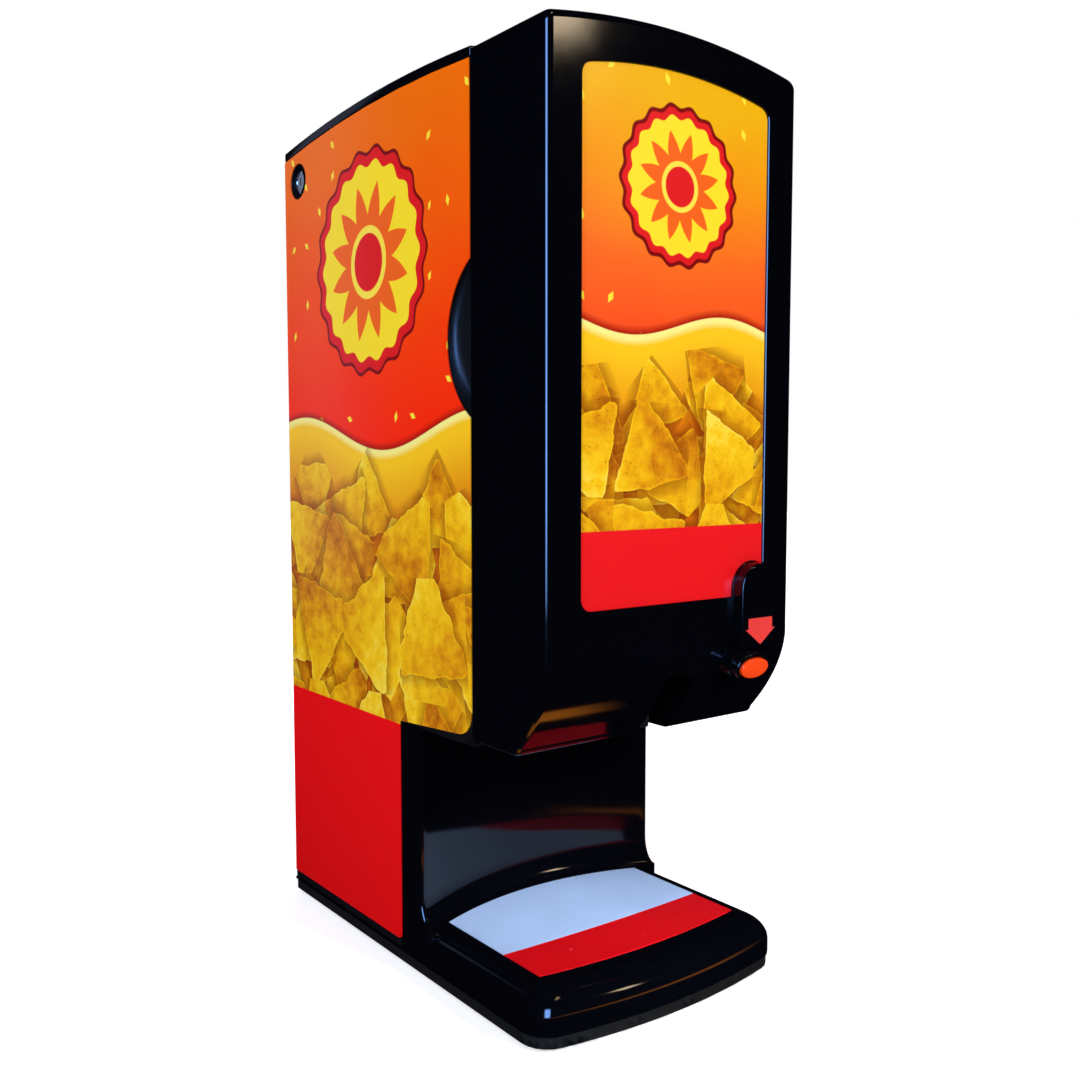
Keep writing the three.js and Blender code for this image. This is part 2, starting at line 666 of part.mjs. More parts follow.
// Finger well behind the cut-out of the left side, open towards the door
function addFingerWell() {
  const wellInner = -insideHalf + scoop.well;
  const outer = bar('x', scoop.radius + sheet, scoop.depth, scoop.z, -insideHalf, wellInner + sheet,
    scoop.sides);
  const inner = bar('x', scoop.radius, scoop.depth, scoop.z, -insideHalf - overrun, wellInner, scoop.sides);
  const behindSeam = block(-caseWidth, caseWidth, caseFront, caseDepth, 0, caseEdgeTop);
  addPiece('finger_well', cut(outer, inner).intersect(behindSeam), 'satin_black');
}

function wellClearance() {
  return bar('x', scoop.radius + sheet + gap, scoop.depth, scoop.z, -insideHalf - overrun,
    -insideHalf + scoop.well + sheet + gap, scoop.sides);
}

function addFaceFrame() {
  const arch = { half: halfWidth, bottom: 0, edge: caseEdgeTop, rise: crownRise, corner: door.topCorner };
  const outer = frontPrism(archOutline(arch, cover.wall + gap * 2), frameFront, frameRear);
  const span = block(-insideHalf, insideHalf, frameFront, frameRear, deckTop + gap, doorEdgeTop + crownRise);
  const opening = block(sheet - linerHalf, linerHalf - sheet, frameFront - overrun, frameRear + overrun,
    faceFrame.openBottom, linerTop - sheet);
  const railNotch = block(tubeX - trough.half - faceFrame.railNotch,
    tubeX + trough.half + faceFrame.railNotch,
    frameFront - overrun, frameRear + overrun, trough.bottom - gap, faceFrame.openBottom + overrun);
  const skirtHalf = insideHalf - cover.wall - gap;
  const skirtFoot = caseEdgeTop - cover.rim - cover.skirt - gap;
  const skirts = [-1, 1].map((side) => block(...[side * skirtHalf, side * caseWidth].sort((a, b) => a - b),
    frameFront - overrun, frameRear + overrun, skirtFoot, doorEdgeTop + crownRise));
  const solid = cut(outer.intersect(span), opening, railNotch, ...skirts, wellClearance(), magnetPocket(gap),
    hingeSlots());
  addPiece('face_frame', solid, 'painted_black');

  const catchHalf = magnet.height / 2;
  const catchBlock = block(-magnetOuter, -magnetInner, innerPanelRear + gap, magnet.rear,
    magnet.z - catchHalf, magnet.z + catchHalf);
  addPiece('magnet_catch', catchBlock, 'satin_black');
}

function addDeck() {
  const floor = block(-insideHalf, insideHalf, caseFront, rearPanelFront - gap * 2 - sheet, deckBottom,
    deckTop);
  const hole = bar('up', deck.holeRadius, deck.holeFromSide - halfWidth, caseDepth - deck.holeFromRear,
    deckBottom - overrun, deckTop + overrun, roundSides);
  addPiece('case_deck', cut(floor, hole), 'painted_black');
}

function addRearPanel() {
  const depth = rearPanelRear;
  const arch = {
    half: halfWidth,
    bottom: caseBottom - caseWidth,
    edge: caseEdge(depth),
    rise: caseRise(depth),
    corner: door.topCorner,
  };
  const outer = frontPrism(archOutline(arch, cover.wall + gap * 2), rearPanelFront, rearPanelRear);
  const skirtHalf = insideHalf - cover.wall - gap;
  const skirtFoot = caseEdge(depth) - cover.rim - cover.skirt - gap;
  const low = block(-insideHalf, insideHalf, rearPanelFront, rearPanelRear, caseBottom, skirtFoot);
  const high = block(-skirtHalf, skirtHalf, rearPanelFront, rearPanelRear, skirtFoot - gap, doorEdgeTop);
  const vents = [];
  for (const start of [rearPanel.lowZ, rearPanel.highZ]) {
    for (let i = 0; i < rearPanel.slots; i += 1) {
      for (const side of [-1, 1]) {
        const x = side * rearPanel.columnX;
        const z = start + i * rearPanel.pitch;
        vents.push(block(x - rearPanel.slotHalf, x + rearPanel.slotHalf, rearPanelFront - overrun,
          rearPanelRear + overrun, z, z + rearPanel.slotWidth));
      }
    }
  }
  const inletHole = block(inlet.x - inlet.half + inlet.border - gap,
    inlet.x + inlet.half - inlet.border + gap,
    rearPanelFront - overrun, rearPanelRear + overrun, inlet.z + inlet.border - gap,
    inlet.z + inlet.height - inlet.border + gap);
  const keeperTop = lock.z - keeper.below;
  const keeperRear = lockDepth - cam.half - gap;
  const webLeft = camRear + gap * 2;
  const web = block(webLeft, webLeft + sheet, keeperRear - sheet, rearPanelFront + gap,
    keeperTop - keeper.height, keeperTop);
  const tongue = block(camX, webLeft + gap, keeperRear - sheet, keeperRear, keeperTop - keeper.height,
    keeperTop);
  const skin = cut(outer.intersect(low.add(high)), joined(vents), inletHole);
  addPiece('rear_panel', joined([skin, web, tongue]), 'painted_black');
}

function addFoodChamber() {
  const { bottom } = liner;
  const half = linerHalf;
  const top = linerTop;
  const shell = block(-half, half, linerFront, linerRear, bottom, top);
  const rim = block(-half - liner.flange, half + liner.flange, linerFront, linerFront + sheet,
    bottom - liner.flange, top + liner.flange);
  const hollow = block(sheet - half, half - sheet, linerFront - overrun, linerRear - sheet,
    bottom + sheet, top - sheet);
  const slot = block(tubeX - liner.slotHalf, tubeX + liner.slotHalf, linerFront - overrun,
    linerFront + liner.slotDepth, bottom - overrun, bottom + overrun);
  const lipSlot = block(tubeX - liner.slotHalf, tubeX + liner.slotHalf, linerFront - overrun,
    linerFront + overrun, bottom - liner.flange - overrun, bottom);
  const slots = [];
  for (let i = 0; i < grille.slots; i += 1) {
    const x = (i - (grille.slots - 1) / 2) * grille.pitch;
    slots.push(block(x - grille.width / 2, x + grille.width / 2, linerRear - sheet - overrun,
      linerRear + overrun, fanZ - grille.height / 2, fanZ + grille.height / 2));
  }
  addPiece('food_chamber_liner', cut(shell.add(rim), hollow, slot, lipSlot, joined(slots)), 'stainless');

  const floor = bottom + sheet + gap;
  const front = linerFront + ramp.front;
  const rear = linerFront + ramp.rear;
  const bend = (drop) => [
    point(front + drop, floor),
    point(front + drop, floor + ramp.frontRise - drop),
    point(rear - drop, floor + ramp.rearRise - drop),
    point(rear - drop, floor),
  ];
  const section = [...bend(0), ...bend(sheet).toReversed()];
  const slope = sidePrism(section, ramp.play - half, half - ramp.play);
  const neck = block(tubeX - liner.slotHalf, tubeX + liner.slotHalf, front - overrun,
    linerFront + liner.slotDepth, floor - overrun, floor + ramp.rearRise);
  addPiece('bag_ramp', cut(slope, neck), 'stainless');

  const inside = half + gap;
  const outside = inside + jacket.thickness;
  const jacketFront = linerFront + jacket.front;
  const jacketRear = linerFront + jacket.rear;
  const wrap = block(-outside, outside, jacketFront, jacketRear, bottom, top + gap + jacket.thickness);
  const core = block(-inside, inside, jacketFront - overrun, jacketRear + overrun, bottom - overrun,
    top + gap);
  addPiece('insulation_jacket', cut(wrap, core), 'foam');
}

function addHeating() {
  const heaterRear = linerBack + heater.thickness;
  const padHalf = linerHalf - heater.fromLiner;
  const padTop = heater.bottom + heater.height;
  const pad = block(-padHalf, padHalf, linerBack, heaterRear, heater.bottom, padTop);
  const terminalZ = heater.bottom + heater.height / 2;
  const terminals = [-1, 1].map((side) => block(side * heater.terminal - heater.terminal / 2,
    side * heater.terminal + heater.terminal / 2, heaterRear - gap, heaterRear + heater.terminal,
    terminalZ, terminalZ + heater.terminal));
  addPiece('heater_plate', joined([pad, ...terminals]), 'aluminium');

  const { z } = thermostat;
  const x = halfWidth - thermostat.fromSide;
  const can = bar('depth', thermostat.radius, x, z, linerBack, linerBack + thermostat.height, roundSides);
  const tab = block(x - thermostat.tab, x + thermostat.tab, linerBack, linerBack + sheet,
    z - thermostat.tabWidth, z + thermostat.tabWidth);
  addPiece('thermostat', can.add(tab), 'aluminium');

  const fanRear = linerBack + fan.depth;
  const body = block(-fan.half, fan.half, linerBack, fanRear, fanZ - fan.half, fanZ + fan.half);
  const bore = bar('depth', fan.bore, 0, fanZ, linerBack - overrun, fanRear + overrun, roundSides);
  const hub = bar('depth', fan.hub, 0, fanZ, fanRear - fan.strut, fanRear, roundSides);
  const across = block(-fan.half + gap, fan.half - gap, fanRear - fan.strut, fanRear,
    fanZ - fan.strut / 2, fanZ + fan.strut / 2);
  const upright = block(-fan.strut / 2, fan.strut / 2, fanRear - fan.strut, fanRear,
    fanZ - fan.half + gap, fanZ + fan.half - gap);
  const axleHole = bar('depth', fan.axle + gap, 0, fanZ, linerBack, fanRear + overrun, roundSides);
  addPiece('fan_frame', cut(joined([cut(body, bore), hub, across, upright]), axleHole), 'satin_black');

  const rotorEnd = fanRear - fan.strut - gap;
  const bossStart = linerBack + sheet;
  const blades = [];
  const reach = fan.bore - fan.tip - fan.hub + gap;
  for (let i = 0; i < fan.blades; i += 1) {
    const blade = new THREE.BoxGeometry(reach, rotorEnd - bossStart - fan.strut, fan.blade);
    blade.rotateX(Math.PI * fanTiltShare);
    blade.translate(fan.hub - gap + reach / 2, 0, 0);
    blade.rotateY((i / fan.blades) * Math.PI * 2);
    blade.translate(0, atDepth((rotorEnd + bossStart) / 2), fanZ);
    blades.push(solidOf(blade));
  }
  const boss = bar('depth', fan.hub, 0, fanZ, bossStart, rotorEnd, roundSides);
  const axle = bar('depth', fan.axle, 0, fanZ, bossStart, fanRear, bearing.sides);
  addPiece('fan_rotor', joined([boss, axle, ...blades]), 'satin_black');
}

function addPump() {
  const { z, half } = pump;
  const bodyOf = (front, rear) => block(pumpLeft, pumpRight, front, rear, z - half, z + half);
  const screwX = pumpRight - thumbScrew.head;
  const screwZ = z + half - thumbScrew.head;
  const hole = bar('depth', thumbScrew.shank + screwPlay, screwX, screwZ, pump.front - pump.cover - overrun,
    pump.front + thumbScrew.length, thumbScrew.sides);
  const cavity = bar('depth', race.radius, rotorX, z, pump.front - overrun, pumpRear - pump.back, race.sides);
  const channel = block(tubeX - race.channelHalf, tubeX + race.channelHalf, pump.front - overrun,
    pumpRear - pump.back, z - half - overrun, z + half + overrun);
  const bushOuter = rotor.shaft + gap + bearing.wall;
  const bushHole = bar('depth', bushOuter + gap, rotorX, z, pump.front, pumpRear + overrun, bearing.sides);
  addPiece('pump_housing', cut(bodyOf(pump.front, pumpRear), cavity, channel, bushHole, hole),
    'white_plastic');
  const coverRear = pump.front - gap;
  const coverFront = coverRear - pump.cover;
  addPiece('pump_cover', cut(bodyOf(coverFront, coverRear), hole), 'clear_plastic');
  const knobRear = coverFront - gap;
  const knob = bar('depth', thumbScrew.head, screwX, screwZ, knobRear - thumbScrew.headHeight, knobRear,
    thumbScrew.sides);
  const shank = bar('depth', thumbScrew.shank, screwX, screwZ, knobRear - gap,
    coverFront + thumbScrew.length, thumbScrew.sides);
  addPiece('pump_thumb_screw', knob.add(shank), 'chrome');

  const bush = bar('depth', bushOuter, rotorX, z, pumpRear - pump.back + gap, pumpRear, bearing.sides);
  const bushBore = bar('depth', rotor.shaft + gap, rotorX, z, pump.front, pumpRear + overrun, bearing.sides);
  addPiece('rotor_bush', cut(bush, bushBore), 'brass');

  const flangeAt = (front) => bar('depth', rotor.flange, rotorX, z, front, front + rotor.flangeThickness,
    race.sides);
  const rollerPlaces = [];
  for (let i = 0; i < roller.count; i += 1) {
    const turn = Math.PI / 2 + (i / roller.count) * Math.PI * 2;
    rollerPlaces.push([rotorX + rotor.orbit * Math.cos(turn), z + rotor.orbit * Math.sin(turn)]);
  }
  const pins = rollerPlaces.map(([x, height]) => bar('depth', rotor.pin, x, height, rotorFront + gap,
    rotorRear - gap, bearing.sides));
  const hub = bar('depth', rotor.hub, rotorX, z, rotorFront + gap, rotorRear - gap, race.sides);
  const shaft = bar('depth', rotor.shaft, rotorX, z, rotorRear - rotor.flangeThickness,
    gearboxFront + rotor.tail, bearing.sides);
  const ends = [flangeAt(rotorFront), flangeAt(rotorRear - rotor.flangeThickness)];
  addPiece('pump_rotor', joined([...ends, hub, shaft, ...pins]), 'aluminium');
  rollerPlaces.forEach(([x, height], i) => {
    const front = rotorFront + rotor.flangeThickness + gap;
    const rear = rotorRear - rotor.flangeThickness - gap;
    const wheel = bar('depth', roller.radius, x, height, front, rear, roller.sides);
    const bore = bar('depth', rotor.pin + gap, x, height, front - overrun, rear + overrun, roller.sides);
    addPiece(`pump_roller_${i + 1}`, cut(wheel, bore), 'white_plastic');
  });

  const mount = block(rotorX - pumpMount.half, rotorX + pumpMount.half, mountFront, mountRear,
    deckTop + gap, pumpMount.top);
  const footPlate = block(rotorX - pumpMount.half, rotorX + pumpMount.half, mountFront,
    mountRear + pumpMount.flange, deckTop + gap, deckTop + gap + pumpMount.thickness);
  const shaftHole = bar('depth', pumpMount.shaftHole, rotorX, z, mountFront - overrun,
    mountRear + overrun, bearing.sides);
  addPiece('pump_mount_plate', cut(mount.add(footPlate), shaftHole), 'zinc_steel');

  const gears = block(rotorX - gearbox.half, rotorX + gearbox.half, gearboxFront,
    gearboxFront + gearbox.depth,
    z - gearbox.half, z + gearbox.half);
  const motorFront = gearboxFront + gearbox.depth - gap;
  const motor = bar('depth', gearbox.motorRadius, rotorX, z, motorFront,
    motorFront + gearbox.motorLength, race.sides);
  const shaftBore = bar('depth', rotor.shaft + gap, rotorX, z, gearboxFront - overrun,
    gearboxFront + rotor.tail + gap, bearing.sides);
  addPiece('gear_motor', cut(gears.add(motor), shaftBore), 'zinc_steel');
}

function addSpout() {
  const top = spout.bottom + spout.height;
  const ring = bar('up', spout.outer, tubeX, spout.depth, spout.bottom, top, spout.sides);
  const bore = bar('up', spout.bore, tubeX, spout.depth, spout.bottom - overrun, top + overrun, spout.sides);
  const gutter = block(tubeX - trough.half, tubeX + trough.half, spout.depth, trough.rear,
    trough.bottom, trough.bottom + trough.height);
  const inside = block(tubeX + trough.wall - trough.half, tubeX + trough.half - trough.wall, spout.depth,
    trough.rear + overrun, trough.bottom + trough.wall, trough.bottom + trough.height + overrun);
  addPiece('spout_guide', cut(ring.add(gutter), inside, bore), 'satin_black');
}

// Hinge plates stand on the frame's rear face and reach forward into the door's corner
function hingeArmOutline(extra) {
  const half = pivot.half + extra;
  return [
    ...arc(pivotX, pivotDepth, half, Math.PI, 2 * Math.PI, cornerSteps * 2),
    point(pivotX + half, frameRear + hingeTab.thickness),
    point(hingeTabRight - gap, frameRear + hingeTab.thickness),
    point(hingeTabRight - gap, frameRear + gap),
    point(pivotX - half, frameRear + gap),
  ];
}

function addHinges() {
  for (const [end, z] of [['top', pivot.topZ], ['bottom', pivot.bottomZ]]) {
    const top = z + pivot.thickness;
    const arm = planPrism(hingeArmOutline(0), z, top);
    const middle = (z + top) / 2;
    const tab = block(hingeTabRight - hingeTab.width, hingeTabRight, frameRear + gap,
      frameRear + gap + hingeTab.thickness, middle - hingeTab.rise, middle + hingeTab.rise);
    const pin = bar('up', pivot.pin, pivotX, pivotDepth, z, top + pivot.pinRise, pivot.sides);
    addPiece(`hinge_plate_${end}`, joined([arm, tab, pin]), 'zinc_steel');
  }
}

// Door body drawn in by an inset: arched front, round edges, chin and hinge corner
const doorFace = {
  half: halfWidth,
  bottom: doorBottom,
  edge: doorEdgeTop,
  rise: crownRise,
  corner: door.topCorner,
  footCorner: door.corner,
};

function chinOutline(inset) {
  const start = new THREE.Vector2(inset, door.chinStart + inset);
  const middle = new THREE.Vector2(door.chinEase + inset, door.chinMiddle + inset);
  const end = new THREE.Vector2(lip.setback + inset, lip.z + inset);
  const curve = new THREE.QuadraticBezierCurve(end, middle, start);
  return [
    point(caseDepth, doorBottom + inset),
    point(caseDepth, doorEdgeTop + caseWidth),
    point(inset, doorEdgeTop + caseWidth),
    ...curve.getPoints(chinSteps).toReversed(),
    point(lip.back + inset, doorBottom + inset),
  ].toReversed();
}

function doorPlanOutline(inset) {
  const round = pivot.inset - inset;
  return [
    point(-caseWidth, -caseDepth),
    point(halfWidth - inset, -caseDepth),
    ...arc(pivotX, pivotDepth, round, 0, Math.PI / 2, cornerSteps),
    point(pivotX, caseDepth),
    point(-caseWidth, caseDepth),
  ];
}

function doorBody(inset, rear) {
  const round = Math.max(door.corner - inset, gap);
  const rings = [];
  for (let i = doorRoundSteps; i >= 0; i -= 1) {
    const turn = (i / doorRoundSteps) * Math.PI / 2;
    const depth = inset + round * (1 - Math.sin(turn));
    const drawn = inset + round * (1 - Math.cos(turn));
    rings.push(archOutline(doorFace, drawn).map((p) => new THREE.Vector3(p.x, depth, p.y)));
  }
  rings.push(archOutline(doorFace, inset).map((p) => new THREE.Vector3(p.x, rear, p.y)));
  const chin = sidePrism(chinOutline(inset), -caseWidth, caseWidth);
  const corner = planPrism(doorPlanOutline(inset), 0, caseWidth + doorEdgeTop);
  return loft(rings, fromFront).intersect(chin).intersect(corner);
}

function notchOutline(extra) {
  const half = notch.half + extra;
  const roof = notch.roof + extra;
  const round = notch.corner + extra;
  return [
    point(tubeX - half, doorBottom - overrun),
    point(tubeX + half, doorBottom - overrun),
    ...arc(tubeX + half - round, roof - round, round, 0, Math.PI / 2, cornerSteps),
    ...arc(tubeX - half + round, roof - round, round, Math.PI / 2, Math.PI, cornerSteps),
  ];
}

function pillOutline(inset) {
  const half = pill.half - inset;
  return [
    point(pillX - half, pill.bottom + inset),
    point(pillX + half, pill.bottom + inset),
    ...arc(pillX, pill.top - pill.half, half, 0, Math.PI, pillSteps),
  ];
}

// Room that a hinge plate needs inside the door while the door swings round it
function hingeSweep() {
  const clear = pivot.half + pivot.slot;
  const strips = [];
  for (const z of [pivot.topZ, pivot.bottomZ]) {
    const low = z - pivot.slot;
    const high = z + pivot.thickness + pivot.slot;
    strips.push(bar('up', clear, pivotX, pivotDepth, low, high, pivot.sides));
    for (let turn = 0; turn <= swing.limit; turn += swing.step) {
      const arm = new THREE.BoxGeometry(clear * 2, swing.length, high - low);
      arm.translate(0, swing.length / 2, 0);
      arm.rotateZ(-THREE.MathUtils.degToRad(turn));
      arm.translate(pivotX, atDepth(pivotDepth), (low + high) / 2);
      strips.push(solidOf(arm));
    }
  }
  return joined(strips);
}

const buttonPlace = new THREE.Matrix4()
  .makeRotationX(Math.PI / 2 + buttonTilt)
  .setPosition(halfWidth - button.fromSide, atDepth(button.depth), button.z);

function oval(halfWide, halfHigh) {
  const points = [];
  for (let i = 0; i < button.sides; i += 1) {
    const angle = (i / button.sides) * Math.PI * 2;
    points.push(point(halfWide * Math.cos(angle), halfHigh * Math.sin(angle)));
  }
  return points;
}

// Oval column in the button's tilted frame, drawn in or out at each height
function tiltedOvals(levels) {
  const rings = levels.map(([height, extra]) => oval(button.halfWidth + extra, button.halfHeight + extra)
    .map((p) => new THREE.Vector3(p.x, p.y - frontPlane, height)));
  return tilted(loft(rings, fromAbove));
}

function tilted(solid) {
  return solid.transform(buttonPlace.elements);
}

const seatRoom = buttonCap.skirt + buttonTravel + barrel.springRoom;
const barrelWall = slideGap + barrel.rim;

function addButton() {
  const floorRear = -seatRoom - barrel.floor;
  const outer = tiltedOvals([[-barrel.length, barrelWall], [-gap, barrelWall]]);
  const seat = tiltedOvals([[-seatRoom, slideGap], [overrun, slideGap]]);
  const rearRoom = tiltedOvals([[-barrel.length - overrun, slideGap], [floorRear, slideGap]]);
  const stemHole = tilted(bar('up', buttonCap.stem + slideGap, 0, -frontPlane, -barrel.length, 0,
    buttonCap.stemSides));
  addPiece('button_barrel', cut(outer, seat, rearRoom, stemHole), 'gloss_black');

  const cap = tiltedOvals([
    [-buttonCap.skirt, 0],
    [buttonCap.proud, 0],
    [buttonCap.proud + buttonCap.crown / 2, -buttonCap.crown],
    [buttonCap.proud + buttonCap.crown, -buttonCap.crown * 3],
  ]);
  const clipTop = floorRear - gap;
  const stemEnd = clipTop - buttonCap.clipHeight;
  const stem = tilted(bar('up', buttonCap.stem, 0, -frontPlane, stemEnd, -buttonCap.skirt + gap,
    buttonCap.stemSides));
  const clip = tilted(bar('up', buttonCap.clip, 0, -frontPlane, stemEnd, clipTop, buttonCap.stemSides));
  addPiece('push_button', joined([cap, stem, clip]), 'button_orange');

  const springLow = spring.wire + gap - seatRoom;
  const springHigh = -buttonCap.skirt - spring.wire - gap;
  addPiece('button_spring', tilted(springSolid(springLow, springHigh)), 'zinc_steel');

  const nubTop = stemEnd - buttonTravel - gap;
  const bodyTop = nubTop - microSwitch.nub;
  const reach = (button.halfWidth + slideGap)
    * Math.sqrt(1 - (microSwitch.halfHeight / (button.halfHeight + slideGap)) ** 2) - gap * 2;
  const body = tilted(localBlock(reach, microSwitch.halfHeight, bodyTop - microSwitch.depth, bodyTop));
  const nub = tilted(localBlock(microSwitch.nubHalf, microSwitch.nubHalf, bodyTop - gap, nubTop));
  addPiece('micro_switch', body.add(nub), 'satin_black');
}

function localBlock(halfWide, halfHigh, bottom, top) {
  const geometry = new THREE.BoxGeometry(halfWide * 2, halfHigh * 2, top - bottom);
  geometry.translate(0, 0, (top + bottom) / 2);
  return solidOf(geometry);
}

// One unbroken wire wound round the button's stem
function springSolid(low, high) {
  const steps = spring.turns * springTurnSteps;
  const centreLine = [];
  for (let i = 0; i <= steps; i += 1) {
    const turn = (i / springTurnSteps) * Math.PI * 2;
    centreLine.push(new THREE.Vector3(spring.radius * Math.cos(turn), spring.radius * Math.sin(turn),
      mix(low, high, i / steps)));
  }
  const rings = centreLine.map((centre, i) => {
    const turn = (i / springTurnSteps) * Math.PI * 2;
    const outward = new THREE.Vector3(Math.cos(turn), Math.sin(turn), 0);
    const ring = [];
    for (let side = 0; side < springWireSides; side += 1) {
      const angle = (side / springWireSides) * Math.PI * 2;
      ring.push(centre.clone()
        .addScaledVector(outward, spring.wire * Math.cos(angle))
        .addScaledVector(ez, spring.wire * Math.sin(angle)));
    }
    return ring.map((p) => new THREE.Vector3(p.x, p.y - frontPlane, p.z));
  });
  let least = Infinity;
  for (let i = 0; i < steps; i += 1) {
    for (let j = i + springTurnSteps / 2; j <= steps; j += 1) {
      least = Math.min(least, centreLine[i].distanceTo(centreLine[j]) - spring.wire * 2);
    }
  }
  console.log(`button spring: least gap to itself ${least.toFixed(2)} mm`);
  return loft(rings, (p) => point(Math.hypot(p.x, p.y + frontPlane), p.z));
}

function addDoor() {
  const shell = cut(doorBody(0, doorDepth), doorBody(moulding, doorDepth + overrun));
  const notchWalls = frontPrism(notchOutline(notch.wall), -overrun,
    doorDepth + overrun).intersect(doorBody(0, doorDepth));
  const flaredRoot = tiltedOvals([
    [-barrel.rootDepth, barrelWall + barrel.rootFlare],
    [-(barrel.rootDepth + barrel.collar) / 2, barrelWall + barrel.rootFlare / 4],
    [-barrel.collar, barrelWall + barrel.rim / 2],
  ]);
  const root = cut(flaredRoot, frontPrism(pillOutline(-gap), -pill.proud - overrun, 0));
  const barrelHole = tiltedOvals([[-barrel.length - overrun, barrelWall + gap], [overrun, barrelWall + gap]]);
  const pillGuard = frontPrism(pillOutline(-gap * 2), -overrun, doorDepth);
  const recess = frontPrism(archOutline(windowFace, 0), -overrun, windowRecess + graphicSheet + gap);
  const sight = frontPrism(archOutline(windowFace, windowSill), -overrun, moulding + overrun);
  const openings = cut(recess.add(sight), pillGuard);
  const notchCut = frontPrism(notchOutline(0), -overrun, doorDepth + overrun);
  const solid = cut(joined([shell, notchWalls, root]), openings, notchCut, barrelHole, hingeSweep());
  addPiece('door_shell', solid, 'gloss_black');

  const print = frontPrism(archOutline(windowFace, gap), windowRecess, windowRecess + graphicSheet);
  addPiece('front_graphic', cut(print, frontPrism(pillOutline(-gap * 4), -overrun, doorDepth)),
    'front_print');

  const plateRings = [[-gap, 0], [pill.edge - pill.proud, pill.ease], [-pill.proud, pill.edge]]
    .map(([depth, drawn]) => pillOutline(drawn).map((p) => new THREE.Vector3(p.x, depth, p.y)));
  addPiece('push_plate', cut(loft(plateRings, fromFront), barrelHole), 'gloss_black');

  addLightBox();
  addInnerPanel();
}

function addLightBox() {
  const front = moulding + gap;
  const rear = front + lightTray.depth;
  const outer = frontPrism(archOutline(windowFace, -lightTray.margin), front, rear);
  const inner = frontPrism(archOutline(windowFace, lightTray.wall - lightTray.margin), front - overrun,
    rear - lightTray.wall);
  addPiece('light_tray', cut(outer, inner), 'white_plastic');

  const boardRear = rear - lightTray.wall - gap;
  const boardFront = boardRear - boardThickness;
  const half = windowHalf - led.margin;
  const low = frontWindow.bottom + led.margin;
  const high = frontWindow.edge - led.margin;
  const lamps = [];
  for (let place = 0; place < led.columns; place += 1) {
    for (let row = 0; row < led.rows; row += 1) {
      const x = mix(-half, half, (place + 0.5) / led.columns);
      const z = mix(low, high, (row + 0.5) / led.rows);
      lamps.push(block(x - led.size / 2, x + led.size / 2, boardFront - led.height, boardFront + gap,
        z - led.size / 2, z + led.size / 2));
    }
  }
  const card = block(-half, half, boardFront, boardRear, low, high);
  addPiece('led_board', joined([card, ...lamps]), 'board_green');
}

function addInnerPanel() {
  const inset = moulding + gap;
  const whole = doorBody(inset, doorDepth).intersect(block(-halfWidth, halfWidth - innerPanel.fromSide,
    innerPanelFront, innerPanelRear, doorBottom, doorEdgeTop + crownRise));
  const notchCut = frontPrism(notchOutline(notch.wall + gap), -overrun, doorDepth + overrun);
  addPiece('door_inner_panel', cut(whole, notchCut), 'painted_black');

  const sealRear = frameFront - gap;
  const sealFront = innerPanelRear + gap;
  const { bottom, top, width } = gasket;
  const half = halfWidth - gasket.fromSide;
  const outer = block(-half, half, sealFront, sealRear, bottom, top);
  const inner = block(width - half, half - width, sealFront - overrun, sealRear + overrun,
    bottom + width, top - width);
  addPiece('door_gasket', cut(outer, inner), 'rubber');

  const cavity = doorBody(inset, doorDepth - moulding);
  for (const [end, z] of [['top', pivot.topZ], ['bottom', pivot.bottomZ]]) {
    const bottom = z + pivot.thickness + gap;
    const body = block(halfWidth - bush.fromSide, halfWidth, bush.front, doorDepth, bottom,
      bottom + bush.height).intersect(cavity);
    const bore = bar('up', pivot.pin + gap, pivotX, pivotDepth, bottom - overrun,
      z + pivot.thickness + pivot.pinRise + gap, pivot.sides);
    addPiece(`hinge_bush_${end}`, cut(body, bore), 'white_plastic');
  }
}

